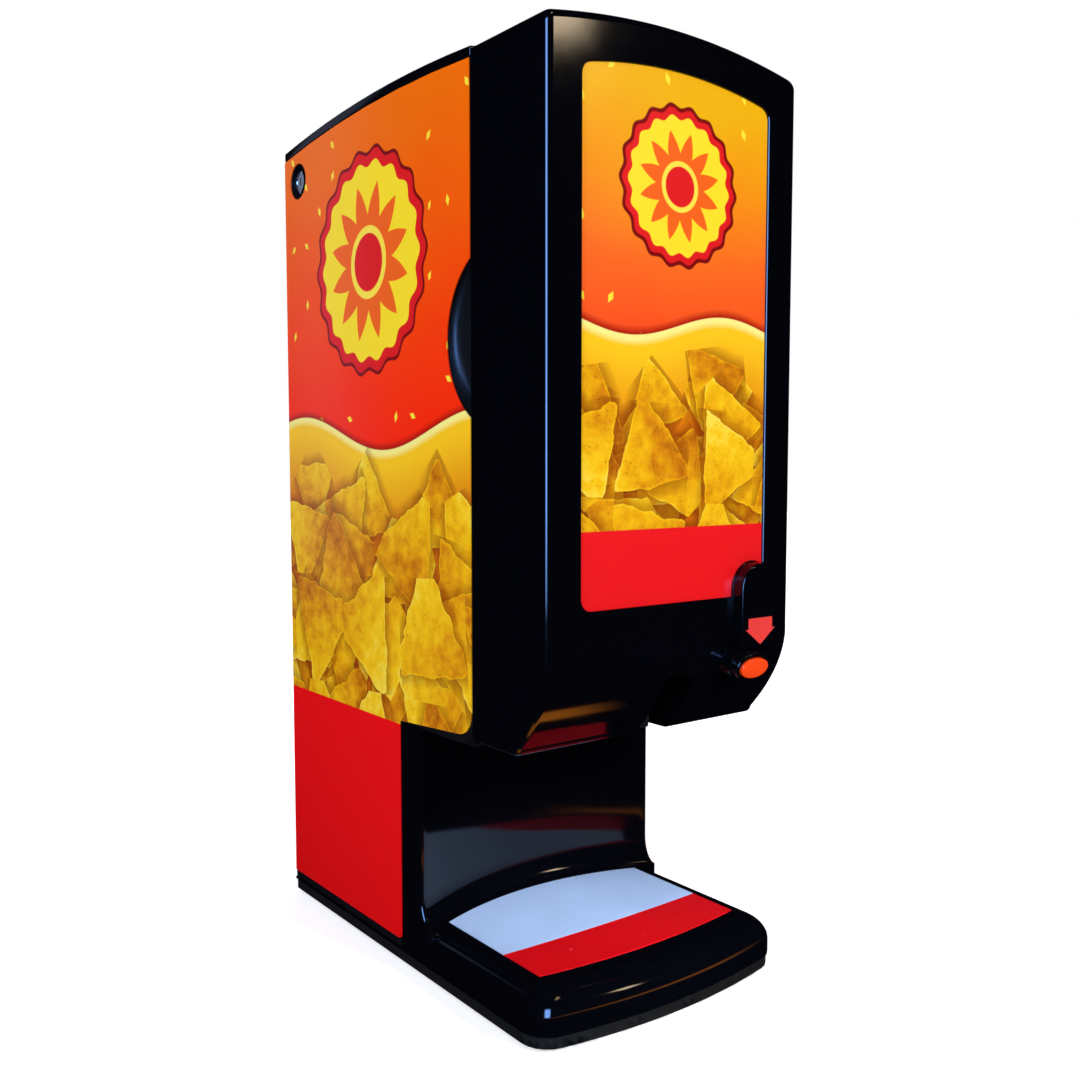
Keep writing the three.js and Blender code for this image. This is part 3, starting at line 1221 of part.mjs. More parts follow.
function addLock() {
  const cupEnd = cupFloor + lock.cupWall;
  const cupBody = bar('x', lock.cup, ...lockCentre, cupFront, cupEnd, roundSides);
  const flange = bar('x', lockFlange.radius, ...lockCentre, -insideHalf,
    lockFlange.thickness - insideHalf, roundSides);
  const cupBore = bar('x', lock.cup - lock.cupWall, ...lockCentre, cupFront - overrun, cupFloor, roundSides);
  const barrelHole = bar('x', lockBarrel.thread + gap, ...lockCentre, cupFront, cupEnd + overrun,
    lockBarrel.sides);
  addPiece('lock_cup', cut(cupBody.add(flange), cupBore, barrelHole), 'satin_black');

  const faceFront = cupFloor - gap - lockBarrel.faceThickness;
  const face = bar('x', lockBarrel.face, ...lockCentre, faceFront, cupFloor - gap, lockBarrel.sides);
  const body = bar('x', lockBarrel.thread, ...lockCentre, cupFloor - gap * 2, barrelRear, lockBarrel.sides);
  const bore = bar('x', lockPlug.radius + gap, ...lockCentre, faceFront - overrun, barrelRear + overrun,
    lockBarrel.sides);
  addPiece('lock_barrel', cut(face.add(body), bore), 'chrome');

  const plug = bar('x', lockPlug.radius, ...lockCentre, faceFront, barrelRear, lockBarrel.sides);
  const tailEnd = camRear + gap;
  const tail = bar('x', lockPlug.tail, ...lockCentre, barrelRear - gap, tailEnd + lockPlug.tail / 2,
    lockBarrel.sides);
  const rivet = bar('x', lockPlug.tailEnd, ...lockCentre, tailEnd, tailEnd + lockPlug.tail / 2,
    lockBarrel.sides);
  const keySlot = block(faceFront - overrun, faceFront + lockPlug.keyDepth, lockDepth - lockPlug.key / 2,
    lockDepth + lockPlug.key / 2, lock.z - lockPlug.keyLength / 2, lock.z + lockPlug.keyLength / 2);
  addPiece('lock_plug', cut(joined([plug, tail, rivet]), keySlot), 'chrome');

  const eye = bar('x', cam.eye, ...lockCentre, camX, camRear, lockBarrel.sides);
  const arm = block(camX, camRear, lockDepth - cam.half, lockDepth + cam.half, lock.z - cam.reach, lock.z);
  const eyeHole = bar('x', lockPlug.tail + gap, ...lockCentre, camX - overrun, camRear + overrun,
    lockBarrel.sides);
  addPiece('lock_cam', cut(eye.add(arm), eyeHole), 'zinc_steel');
}

function addRearServices() {
  const flangeFront = rearPanelRear + gap;
  const flangeRear = flangeFront + inlet.flange;
  const { x, z, half, border } = inlet;
  const flange = block(x - half, x + half, flangeFront, flangeRear, z, z + inlet.height);
  const body = block(x - half + border, x + half - border, flangeRear - inlet.depth, flangeRear,
    z + border, z + inlet.height - border);
  const socketX = x + socket.x;
  const middle = z + inlet.height / 2;
  const cavity = block(socketX - socket.half, socketX + socket.half, flangeRear - socket.depth,
    flangeRear + overrun, middle - socket.height / 2, middle + socket.height / 2);
  const blades = [-1, 0, 1].map((place) => block(socketX + place * socket.pitch - socket.blade,
    socketX + place * socket.pitch + socket.blade, flangeRear - socket.depth - gap,
    flangeRear - socket.depth + socket.bladeLength, middle - socket.bladeHeight / 2,
    middle + socket.bladeHeight / 2));
  const rockerX = x + rocker.x;
  const play = gap * 2;
  const well = block(rockerX - rocker.half - play, rockerX + rocker.half + play,
    flangeRear - rocker.depth - play,
    flangeRear + overrun, middle - rocker.height / 2 - play, middle + rocker.height / 2 + play);
  addPiece('power_inlet', cut(flange.add(body), cavity, well).add(joined(blades)), 'satin_black');

  const swing = THREE.MathUtils.degToRad(rockerSwing);
  const axleDepth = flangeRear - rocker.depth / 2;
  const reach = rocker.height / 2;
  const tipDepth = flangeRear - reach * Math.tan(swing) / 2;
  const section = [
    point(flangeRear + rocker.proud - reach * Math.tan(swing), middle),
    point(tipDepth, middle + reach - play),
    point(axleDepth, middle + reach - play * 2),
    point(axleDepth - rocker.axle, middle + rocker.axle),
    point(axleDepth - rocker.axle, middle - rocker.axle),
    point(axleDepth, middle - reach + play * 2),
    point(tipDepth, middle - reach + play),
  ];
  const pressed = section.map((p) => p.rotateAround(point(axleDepth, middle), -swing));
  addPiece('switch_rocker', sidePrism(pressed, rockerX - rocker.half, rockerX + rocker.half), 'gloss_black');

  const supplyLeft = supply.fromSide - halfWidth;
  const supplyTop = caseBottom + supply.height;
  const supplyFront = lowerCaseFront + supply.fromFront;
  const supplyRear = caseDepth - supply.fromRear;
  const box = block(supplyLeft, -supply.fromMiddle, supplyFront, supplyRear, caseBottom, supplyTop);
  const slots = [];
  for (let i = 0; i < supply.slots; i += 1) {
    const depth = mix(supplyFront, supplyRear, (i + 1) / (supply.slots + 1));
    slots.push(block(supplyLeft + supply.terminal, -supply.fromMiddle - supply.terminal,
      depth - supply.slotWidth / 2, depth + supply.slotWidth / 2, supplyTop - supply.slotWidth,
      supplyTop + overrun));
  }
  addPiece('power_supply', cut(box, joined(slots)), 'aluminium');

  const cardBottom = caseBottom + board.standoff;
  const cardTop = cardBottom + boardThickness;
  const boardRight = halfWidth - board.fromSide;
  const boardFront = lowerCaseFront + board.fromFront;
  const boardRear = caseDepth - board.fromRear;
  const posts = [board.fromMiddle + board.inset, boardRight - board.inset]
    .flatMap((postX) => [boardFront + board.inset, boardRear - board.inset]
      .map((depth) => bar('up', board.standoffRadius, postX, depth, caseBottom, cardBottom + gap,
        bearing.sides)));
  const card = block(board.fromMiddle, boardRight, boardFront, boardRear, cardBottom, cardTop);
  const step = boardPiece.relay;
  const relays = [0, 1].map((place) => {
    const relayLeft = board.fromMiddle + step + place * step * 2;
    return block(relayLeft, relayLeft + step, boardFront + step, boardFront + step * 2, cardTop - gap,
      cardTop + boardPiece.relayHeight);
  });
  const cans = [0, 1].map((place) => bar('up', boardPiece.capRadius, board.fromMiddle + step + place * step,
    boardRear - step, cardTop - gap, cardTop + boardPiece.capHeight, bearing.sides));
  const terminal = block(boardRight - board.inset - boardPiece.blockLength, boardRight - board.inset,
    boardRear - boardPiece.block * 2, boardRear - boardPiece.block, cardTop - gap,
    cardTop + boardPiece.block);
  addPiece('control_board', joined([...posts, card, ...relays, ...cans, terminal]), 'board_green');
}

addBase();
addTopCover();
addSidePanels();
addFingerWell();
addFaceFrame();
addDeck();
addRearPanel();
addFoodChamber();
addHeating();
addPump();
addSpout();
addHinges();
addDoor();
addButton();
addLock();
addRearServices();

export default dispenser;
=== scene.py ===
# %% [markdown]
# # A push-button dispenser for hot cheese
# The machine is an upright counter cabinet. A black moulded door carries a lit print, a raised
# plate and one orange button. The case behind it is sheet steel with a printed film on each side.
# The solids come from the CAD frame, and this script dresses them: it makes smoother skins for
# what is moulded, prints for the films, and a material for every surface.

# %% Load the fixed frame
import json
import math

import bmesh
import bpy
import numpy as np
from mathutils import Matrix, Vector


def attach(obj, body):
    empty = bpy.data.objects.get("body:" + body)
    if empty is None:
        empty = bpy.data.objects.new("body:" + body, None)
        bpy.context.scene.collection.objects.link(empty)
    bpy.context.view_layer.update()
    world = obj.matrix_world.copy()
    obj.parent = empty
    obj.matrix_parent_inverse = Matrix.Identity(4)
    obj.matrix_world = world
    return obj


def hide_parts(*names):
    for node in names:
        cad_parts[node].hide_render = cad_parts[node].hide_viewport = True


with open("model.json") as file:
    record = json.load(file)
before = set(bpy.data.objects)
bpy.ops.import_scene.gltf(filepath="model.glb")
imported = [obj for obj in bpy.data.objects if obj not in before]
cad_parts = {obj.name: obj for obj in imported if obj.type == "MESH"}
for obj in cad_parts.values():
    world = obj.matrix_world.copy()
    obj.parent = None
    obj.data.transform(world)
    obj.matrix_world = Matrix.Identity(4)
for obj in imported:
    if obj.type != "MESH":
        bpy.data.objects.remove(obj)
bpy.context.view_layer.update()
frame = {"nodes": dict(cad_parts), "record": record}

MM = 0.001

# %% [markdown]
# ## The camera
# The photograph looks slightly down at the front left corner. Its two sets of level edges meet at
# two far points, and these give the lens and the turn of the camera.

# %% Camera
def stand(name, data):
    """A new object at the origin that carries the data."""
    made = bpy.data.objects.new(name, data)
    bpy.context.scene.collection.objects.link(made)
    return made


photo_side = 1080
focal_pixels = 1133.3
camera_eye = Vector((-0.5801, -0.7877, 0.4193))
camera_turn = math.radians(37.132)
camera_dip = math.radians(4.269)

camera_data = bpy.data.cameras.new("camera")
camera_data.sensor_width = 36
camera_data.lens = focal_pixels / photo_side * camera_data.sensor_width
camera = stand("camera", camera_data)
camera.location = camera_eye
camera.rotation_euler = (math.pi / 2 - camera_dip, 0, -camera_turn)
bpy.context.scene.camera = camera
print("lens", round(camera_data.lens, 1), "mm")

# %% [markdown]
# ## Nodes and colours
# Materials are written as node trees. One helper adds a node with its settings and links, and one
# turns a hex colour, which is how a screen writes it, into the linear values that a renderer mixes.

# %% Helpers for materials
MATH, VECTOR_MATH = "ShaderNodeMath", "ShaderNodeVectorMath"
NOISE, REMAP, MIX = "ShaderNodeTexNoise", "ShaderNodeMapRange", "ShaderNodeMix"


def linear(hex_colour):
    parts = [int(hex_colour[i : i + 2], 16) / 255 for i in (1, 3, 5)]
    curve = [c / 12.92 if c <= 0.04045 else ((c + 0.055) / 1.055) ** 2.4 for c in parts]
    return (*curve, 1.0)


def settle(tree, node, values):
    """Sets or links sockets. A node given as a value stands for its first output."""
    for socket, value in values.items():
        if isinstance(value, bpy.types.Node):
            value = value.outputs[0]
        if isinstance(value, bpy.types.NodeSocket):
            tree.links.new(value, node.inputs[socket])
        elif value is not None:
            node.inputs[socket].default_value = value


def add(tree, kind, *inputs, links=None, **settings):
    """A new node. Inputs fill its sockets in order, and links name a socket or give its number."""
    node = tree.nodes.new(kind)
    for name, value in settings.items():
        setattr(node, name, value)
    settle(tree, node, {**dict(enumerate(inputs)), **(links or {})})
    return node


def start_material(name):
    made = bpy.data.materials.new(name)
    made.use_nodes = True
    tree = made.node_tree
    tree.nodes.clear()
    shader = add(tree, "ShaderNodeBsdfPrincipled")
    add(tree, "ShaderNodeOutputMaterial", shader)
    place = add(tree, "ShaderNodeTexCoord").outputs["Object"]
    return made, tree, shader, place


print("helpers ready")

# %% [markdown]
# ## White studio
# The object stands on a white sweep. The world is pure white for rays from the camera and for
# mirror and glass rays, and softer for the light that falls on matt surfaces, so that the
# background is white and the object isn't washed out.

# %% World
world = bpy.data.worlds.new("white studio")
bpy.context.scene.world = world
world.use_nodes = True
sky = world.node_tree
sky.nodes.clear()
path = add(sky, "ShaderNodeLightPath")
seen = add(sky, MATH, path.outputs["Is Camera Ray"], path.outputs["Is Glossy Ray"], operation="MAXIMUM")
seen = add(sky, MATH, seen, path.outputs["Is Transmission Ray"], operation="MAXIMUM")
soft_air = add(sky, "ShaderNodeBackground", linear("#E8EEFF"), 0.42)
white_air = add(sky, "ShaderNodeBackground", (1, 1, 1, 1), 1.0)
air = add(sky, "ShaderNodeMixShader", seen, soft_air, white_air)
add(sky, "ShaderNodeOutputWorld", air)
print("world", world.name)

# %% [markdown]
# The floor is matt and pale. It adds a glow that only the camera and mirror rays see, weak round
# the object, where its shadow has to show, and full from a metre away, where the lamps no longer
# reach. So the floor meets the white world without a line.

# %% Floor
floor_mesh = bpy.data.meshes.new("floor")
reach = 6.0
corners = [(-reach, -reach, 0), (reach, -reach, 0), (reach, reach, 0), (-reach, reach, 0)]
floor_mesh.from_pydata(corners, [], [(0, 1, 2, 3)])
floor = stand("floor", floor_mesh)

floor_paper, tree, shader, place = start_material("matt white paper sweep")
path = add(tree, "ShaderNodeLightPath")
seen = add(tree, MATH, path.outputs["Is Camera Ray"], path.outputs["Is Glossy Ray"],
           operation="MAXIMUM")
grain = add(tree, NOISE, place, links={"Scale": 900, "Detail": 2})
paper = add(tree, MIX, data_type="RGBA", links={0: grain, 6: linear("#E9E9EA"), 7: linear("#F0F0F0")})
level_place = add(tree, VECTOR_MATH, place, (1, 1, 0), operation="MULTIPLY")
distance = add(tree, VECTOR_MATH, level_place, operation="LENGTH")
fade = add(tree, REMAP, distance.outputs["Value"], 0.3, 1.0, 0.55, 1.0)
glow = add(tree, MATH, seen, fade, operation="MULTIPLY")
settle(tree, shader, {"Roughness": 0.9, "Specular IOR Level": 0.0, "Base Color": paper.outputs[2],
                      "Emission Color": (1, 1, 1, 1), "Emission Strength": glow})
floor_mesh.materials.append(floor_paper)
print("floor", 2 * reach, "m square")

# %% [markdown]
# Polished black plastic shows whatever stands round it. In the photograph that is a dark room, so
# a box of black velvet stands round the object and lies under it. Only mirror rays see the box:
# the light on the object, the white background and the floor's shadow don't change.

# %% Black velvet round the object
def show_to_mirrors(panel):
    """Hides a studio panel from every ray but the mirror rays."""
    for ray in ("camera", "diffuse", "shadow", "transmission", "volume_scatter"):
        setattr(panel, "visible_" + ray, False)


velvet_mesh = bpy.data.meshes.new("velvet")
wide, high, low = 2.8, 3.6, 0.0004
ring = [(-wide, -wide), (wide, -wide), (wide, wide), (-wide, wide)]
velvet_mesh.from_pydata([(x, y, z) for z in (low, high) for x, y in ring], [],
                        [(0, 1, 2, 3), (4, 7, 6, 5), (0, 4, 5, 1), (1, 5, 6, 2), (2, 6, 7, 3),
                         (3, 7, 4, 0)])
velvet_box = stand("velvet", velvet_mesh)
velvet, tree, shader, place = start_material("black velvet")
pile = add(tree, NOISE, place, links={"Scale": 400, "Detail": 1})
nap = add(tree, MIX, data_type="RGBA", links={0: pile, 6: linear("#010103"), 7: linear("#05060C")})
settle(tree, shader, {"Base Color": nap.outputs[2], "Roughness": 1.0, "Specular IOR Level": 0.0})
velvet_mesh.materials.append(velvet)
show_to_mirrors(velvet_box)
print("velvet box", 2 * wide, "m wide")

# %% [markdown]
# ## Lamps
# Two large soft boxes do the work: a cool one at the front left, which lights the side film, and a
# warmer one at the front right for the door. A small lamp with a narrow beam reaches under the door
# to the tray plate, and one behind shows the back. Their light adds up to a plain daylight level.
# Mirror rays don't see them, because their broad reflections would turn the black faces grey.

# %% Lamps
def soft_box(name, watts, size, place, aim, colour, spread=math.pi):
    data = bpy.data.lights.new(name, "AREA")
    data.shape = "RECTANGLE"
    data.size, data.size_y = size
    data.energy = watts
    data.spread = spread
    data.color = linear(colour)[:3]
    lamp = stand(name, data)
    lamp.location = place
    lamp.rotation_euler = (Vector(aim) - Vector(place)).to_track_quat("-Z", "Y").to_euler()
    lamp.visible_glossy = False
    print(name, watts, "W")


soft_box("front_left_box", 33, (1.0, 1.3), (-1.9, -0.9, 1.5), (0, 0, 0.35), "#F2F6FF")
soft_box("front_right_box", 21, (0.9, 1.2), (1.0, -1.9, 1.5), (0, -0.1, 0.35), "#FFF4E4")
soft_box("rear_box", 16, (1.2, 1.2), (1.3, 2.2, 1.6), (0, 0.1, 0.35), "#F4F6FF")
soft_box("tray_lamp", 0.21, (0.25, 0.2), (0.25, -1.3, 0.75), (0, -0.1, 0.04), "#F4F8FF",
         math.radians(14))

# %% [markdown]
# The highlights are drawn by glowing cards that only mirror rays see. Each card glows on the side
# that faces the dispenser and fades out towards its edge, so its reflection is soft. A cool one
# makes the blue line down the rounded edge of the door, a warm one the patch at the door's top
# corner, and dim ones the amber light on the chin, a warm sheen from above and the grey on the lock.

# %% Cards for the highlights
def card(name, size, middle, aim, colour, strength):
    half_x, half_y = size[0] / 2, size[1] / 2
    mesh = bpy.data.meshes.new(name)
    turn = (Vector(aim) - Vector(middle)).to_track_quat("-Z", "Y").to_matrix()
    corners = [Vector(middle) + turn @ Vector((x, y, 0))
               for x, y in ((-half_x, -half_y), (half_x, -half_y), (half_x, half_y), (-half_x, half_y))]
    mesh.from_pydata(corners, [], [(0, 1, 2, 3)])
    made, tree, shader, place = start_material("glowing card " + name)
    centred = add(tree, VECTOR_MATH, place, tuple(middle), operation="SUBTRACT")
    least = None
    for axis, half in ((turn.col[0], half_x), (turn.col[1], half_y)):
        across = add(tree, VECTOR_MATH, centred, tuple(axis), operation="DOT_PRODUCT")
        across = add(tree, MATH, across.outputs["Value"], operation="ABSOLUTE")
        share = add(tree, REMAP, across, half, half * 0.45, 0.0, 1.0, interpolation_type="SMOOTHSTEP")
        least = share if least is None else add(tree, MATH, least, share, operation="MULTIPLY")
    seen = add(tree, "ShaderNodeNewGeometry")
    least = add(tree, MATH, least, seen.outputs["Backfacing"], operation="MULTIPLY")
    power = add(tree, MATH, least, strength, operation="MULTIPLY")
    settle(tree, shader, {"Base Color": (0, 0, 0, 1), "Specular IOR Level": 0.0,
                          "Emission Color": linear(colour), "Emission Strength": power})
    mesh.materials.append(made)
    panel = stand(name, mesh)
    show_to_mirrors(panel)
    print(name, "card")


card("cool_line", (0.9, 2.4), (-1.35, -1.85, 0.9), (-0.1, -0.2, 0.4), "#78ACFF", 26.0)
card("warm_patch", (0.3, 0.42), (1.24, -1.98, 1.66), (-0.1, -0.2, 0.7), "#FFE4BE", 15.0)
card("amber_shelf", (0.36, 0.05), (-0.03, -0.213, 0.026), (-0.03, -0.213, 1.0), "#F08A20", 2.6)
card("warm_ceiling", (0.7, 0.5), (0.5, -1.0, 2.9), (0, -0.2, 0.0), "#FFD9A0", 6.0)
card("grey_rear", (0.22, 1.7), (-0.86, 1.63, 0.75), (-0.12, 0.18, 0.5), "#9FA8C8", 0.7)

scene_view = bpy.context.scene.view_settings
scene_view.view_transform = "Standard"

# %% [markdown]
# ## Making and finishing a piece
# Moulded skins are lofted: a row of closed outlines, all with the same number of points, is joined
# with quads and capped. Openings are cut with Boolean modifiers. Every length is in millimetres, and
# depths are counted from the front plane of the door, as on the drawing of the CAD frame. Heights
# are counted from a level 21 mm above the floor, as there.

# %% Helpers for outlines
case_depth = 395.0
# The button's top corner reaches furthest forward, and the whole depth is centred on the origin
button_tilt = math.radians(15)
reach_of_button = 1.9 * math.cos(button_tilt) + 7 * math.sin(button_tilt) + 12.5
front_plane = -(case_depth - reach_of_button) / 2
lift = 21.0
corner_steps = 10


def at(x, depth, z):
    return Vector((x, depth + front_plane, z + lift)) * MM


def arc(centre, radius, start, end, steps=corner_steps):
    angles = np.linspace(start, end, steps + 1)
    return [(centre[0] + radius * math.cos(a), centre[1] + radius * math.sin(a)) for a in angles]


def bow_radius(half, rise):
    """Radius of a low arch, from half its span and its rise."""
    return (half * half + rise * rise) / (2 * rise)


def arch_outline(half, bottom, edge, rise, corner, inset=0.0):
    """Upright outline with a low arched top, drawn in by an inset, as (x, z) points."""
    radius = bow_radius(half, rise)
    centre = edge + rise - radius
    radius, side = radius - inset, half - inset
    turned = max(corner - inset, 0.3)
    fillet_x = side - turned
    fillet_z = centre + math.sqrt((radius - turned) ** 2 - fillet_x ** 2)
    turn = math.atan2(fillet_z - centre, fillet_x)
    foot = turned
    low = bottom + inset + foot
    return [
        *arc((foot - side, low), foot, math.pi, 1.5 * math.pi),
        *arc((side - foot, low), foot, -0.5 * math.pi, 0),
        *arc((fillet_x, fillet_z), turned, 0, turn),
        *arc((0, centre), radius, turn, math.pi - turn, 64)[1:-1],
        *arc((-fillet_x, fillet_z), turned, math.pi - turn, math.pi),
    ]


print("front plane at", round(front_plane, 1), "mm")

# %% Helpers for skins
def loft(name, rings):
    """A closed skin through rings of points in metres, with each end filled."""
    count = len(rings[0])
    faces = []
    for ring in range(len(rings) - 1):
        for i in range(count):
            a, b = ring * count + i, ring * count + (i + 1) % count
            faces.append((a, b, b + count, a + count))
    last = (len(rings) - 1) * count
    faces.append(tuple(range(count))[::-1])
    faces.append(tuple(range(last, last + count)))
    mesh = bpy.data.meshes.new(name)
    mesh.from_pydata([p for ring in rings for p in ring], [], faces)
    made = stand(name, mesh)
    tidy_mesh(mesh, 1e-6)
    return made


def tidy_mesh(mesh, distance):
    """Merges doubles and turns every face outwards."""
    work = bmesh.new()
    work.from_mesh(mesh)
    bmesh.ops.remove_doubles(work, verts=work.verts, dist=distance)
    bmesh.ops.recalc_face_normals(work, faces=work.faces)
    work.to_mesh(mesh)
    work.free()


def front_prism(name, outline, front, rear):
    """A prism whose outline is seen from the front, as (x, z) points."""
    return loft(name, [[at(x, depth, z) for x, z in outline] for depth in (front, rear)])


def plan_prism(name, outline, bottom, top):
    """A prism whose outline is seen from above, as (x, depth) points."""
    return loft(name, [[at(x, depth, z) for x, depth in outline] for z in (bottom, top)])


print("skins are lofted in metres")

# %% Helpers that cut and finish
def apply_modifiers(piece):
    graph = bpy.context.evaluated_depsgraph_get()
    fresh = bpy.data.meshes.new_from_object(piece.evaluated_get(graph), depsgraph=graph)
    stale = piece.data
    piece.modifiers.clear()
    piece.data = fresh
    bpy.data.meshes.remove(stale)


def carve(piece, operation, *tools):
    for tool in tools:
        cutting = piece.modifiers.new("carve", "BOOLEAN")
        cutting.operation = operation
        cutting.solver = "EXACT"
        cutting.object = tool
    apply_modifiers(piece)
    for tool in tools:
        bpy.data.objects.remove(tool)


bodies_of_record = frame["record"]["behaviour"]["bodies"]
body_of = {node: body for body, nodes in bodies_of_record.items() for node in nodes}


def finish_piece(piece, material, body, slot, *nodes, sharp=32):
    """Gives a piece its edges, shading, material and body, and hides the nodes that it replaces. The slot
    is not used.
    """
    piece.data.materials.clear()
    piece.data.materials.append(material)
    for polygon in piece.data.polygons:
        polygon.material_index = 0
    piece.data.shade_smooth()
    piece.data.set_sharp_from_angle(angle=math.radians(sharp))
    weighting = piece.modifiers.new("weighting", "WEIGHTED_NORMAL")
    weighting.keep_sharp = True
    apply_modifiers(piece)
    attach(piece, body)
    if nodes:
        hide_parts(*nodes)
    print(piece.name, len(piece.data.polygons), "faces")


# %% [markdown]
# ## Moulded plastics
# Black ABS from a polished mould is a deep black with a sharp, faint reflection, and its surface
# is never quite flat: it waves a little where the plastic shrank. Matt mouldings have a fine
# spark-eroded grain instead. Both are one recipe with other numbers.

# %% Plastics
def plastic(name, colour, roughness, grain, depth, level=0.5, uneven=0.03):
    """Grain is the width of the surface's waves or pits in metres, and depth is their height."""
    made, tree, shader, place = start_material(name)
    cloud = add(tree, NOISE, place, links={"Scale": 1 / (40 * MM), "Detail": 3})
    darker = tuple(c * 0.84 for c in linear(colour)[:3]) + (1,)
    tone = add(tree, MIX, data_type="RGBA", links={0: cloud, 6: darker, 7: linear(colour)})
    wear = add(tree, NOISE, place, links={"Scale": 1 / (15 * MM), "Detail": 4})
    rough = add(tree, REMAP, wear, links={"To Min": roughness - uneven, "To Max": roughness + uneven})
    pits = add(tree, NOISE, place, links={"Scale": 1 / grain, "Detail": 2})
    relief = add(tree, "ShaderNodeBump", links={"Height": pits, "Distance": depth})
    settle(tree, shader, {"Base Color": tone.outputs[2], "Roughness": rough, "IOR": 1.5,
                          "Specular IOR Level": level, "Normal": relief})
    return made


# ABS from a polished mould: sharp reflections that wander a little over shrink waves
gloss_black = plastic("polished black ABS", "#04050A", 0.075, 34 * MM, 0.05 * MM, 0.45, 0.02)
# ABS from a plain mould: no picture in it, only a soft sheen
satin_black = plastic("satin black ABS", "#121317", 0.42, 0.8 * MM, 0.03 * MM, 0.4)
# ABS from a spark-eroded mould: a dry olive grey with a fine pitted grain
pan_grey = plastic("spark-eroded grey ABS", "#191710", 0.66, 1.2 * MM, 0.03 * MM, 0.3)
# Moulded rubber: almost no sheen, slightly chalky
black_rubber = plastic("moulded rubber", "#19191A", 0.82, 1.0 * MM, 0.06 * MM, 0.3)
# Dyed acrylic: bright, smooth and wet looking
button_orange = plastic("orange acrylic", "#FF4A12", 0.17, 12 * MM, 0.02 * MM, 0.5, 0.04)
# Acetal turned from rod: a dull, waxy white
white_acetal = plastic("white acetal", "#E9E8E0", 0.45, 0.8 * MM, 0.02 * MM, 0.45)
# High-impact polystyrene sheet, printed pale blue: an even satin
tray_blue = plastic("pale blue printed polystyrene", "#B6D2FC", 0.24, 9 * MM, 0.02 * MM, 0.5)
# The same sheet in the printed red
band_red = plastic("red printed polystyrene", "#DA0E16", 0.26, 9 * MM, 0.02 * MM, 0.5)
arrow_red = plastic("red pad-printed ink", "#F23C36", 0.4, 3 * MM, 0.02 * MM, 0.4)
print(len(bpy.data.materials), "materials so far")

# %% [markdown]
# The pump's cover and the lens over the lamps are clear polycarbonate: light goes through, with a
# trace of grey, and the edges look darker than the faces.

# %% Clear plastic
clear_plastic, tree, shader, place = start_material("clear polycarbonate")
scuffs = add(tree, NOISE, place, links={"Scale": 1 / (6 * MM), "Detail": 6})
rough = add(tree, REMAP, scuffs, links={"To Min": 0.02, "To Max": 0.12})
settle(tree, shader, {"Base Color": linear("#E9F1F1"), "Transmission Weight": 0.92, "IOR": 1.58,
                      "Roughness": rough})
print(clear_plastic.name)

# %% [markdown]
# ## Metals
# Rolled and brushed metals carry fine lines in one direction, which stretch every reflection.
# Noise squeezed along one axis gives such lines, both in the roughness and in the relief. Cast,
# turned and plated metals use the same recipe with an even grain.

# %% Metals
def metal(name, colour, roughness, lines, squeeze, depth, uneven=0.08):
    """Lines is the width of the marks in metres, and squeeze their stretch along x, y and z."""
    made, tree, shader, place = start_material(name)
    brushed = add(tree, "ShaderNodeMapping", place, links={"Scale": squeeze})
    marks = add(tree, NOISE, brushed, links={"Scale": 1 / lines, "Detail": 4})
    stain = add(tree, NOISE, place, links={"Scale": 1 / (30 * MM), "Detail": 3})
    duller = tuple(c * 0.82 for c in linear(colour)[:3]) + (1,)
    tone = add(tree, MIX, data_type="RGBA", links={0: stain, 6: duller, 7: linear(colour)})
    rough = add(tree, REMAP, marks, links={"To Min": roughness - uneven, "To Max": roughness + uneven})
    relief = add(tree, "ShaderNodeBump", links={"Height": marks, "Distance": depth})
    settle(tree, shader, {"Base Color": tone.outputs[2], "Roughness": rough, "Metallic": 1.0,
                          "Normal": relief})
    return made


# Brushed stainless sheet: long upright scratches that draw reflections out sideways
stainless = metal("brushed stainless steel", "#C4C5C3", 0.3, 0.7 * MM, (1, 1, 0.04), 0.01 * MM)
# Zinc-plated steel: bluish, cloudy and a little milky
zinc_steel = metal("zinc-plated steel", "#AEB4BC", 0.36, 2.5 * MM, (1, 1, 1), 0.01 * MM)
# Chrome plate over brass: a nearly perfect mirror
chrome = metal("chrome plate", "#D9DCE2", 0.08, 1.5 * MM, (1, 1, 1), 0.004 * MM, 0.03)
# Milled aluminium: pale with an even satin grain
aluminium = metal("milled aluminium", "#C2C5C8", 0.36, 0.6 * MM, (1, 0.1, 1), 0.01 * MM)
# Turned bronze bush: warm, with the lathe's fine rings read as an even grain
bronze = metal("turned bronze", "#B98A48", 0.34, 0.5 * MM, (1, 1, 1), 0.01 * MM)
print(len(bpy.data.materials), "materials so far")

# %% [markdown]
# ## Painted steel, foam and circuit board
# Powder paint flows into a fine orange peel before it sets. It is drawn at 2.5 mm here, a little
# coarser than real, so that it shows. The foam round the food chamber has open cells, and the
# circuit boards carry green solder mask over a net of copper tracks.

# %% Powder paint
painted_black, tree, shader, place = start_material("black powder-coated steel")
peel = add(tree, NOISE, place, links={"Scale": 1 / (2.5 * MM), "Detail": 1})
dust = add(tree, NOISE, place, links={"Scale": 1 / (50 * MM), "Detail": 5})
tone = add(tree, MIX, data_type="RGBA", links={0: dust, 6: linear("#0B0C0F"), 7: linear("#14151A")})
rough = add(tree, REMAP, dust, links={"To Min": 0.28, "To Max": 0.42})
relief = add(tree, "ShaderNodeBump", links={"Height": peel, "Distance": 0.06 * MM})
settle(tree, shader, {"Base Color": tone.outputs[2], "Roughness": rough, "Normal": relief,
                      "Specular IOR Level": 0.4})
print(painted_black.name)

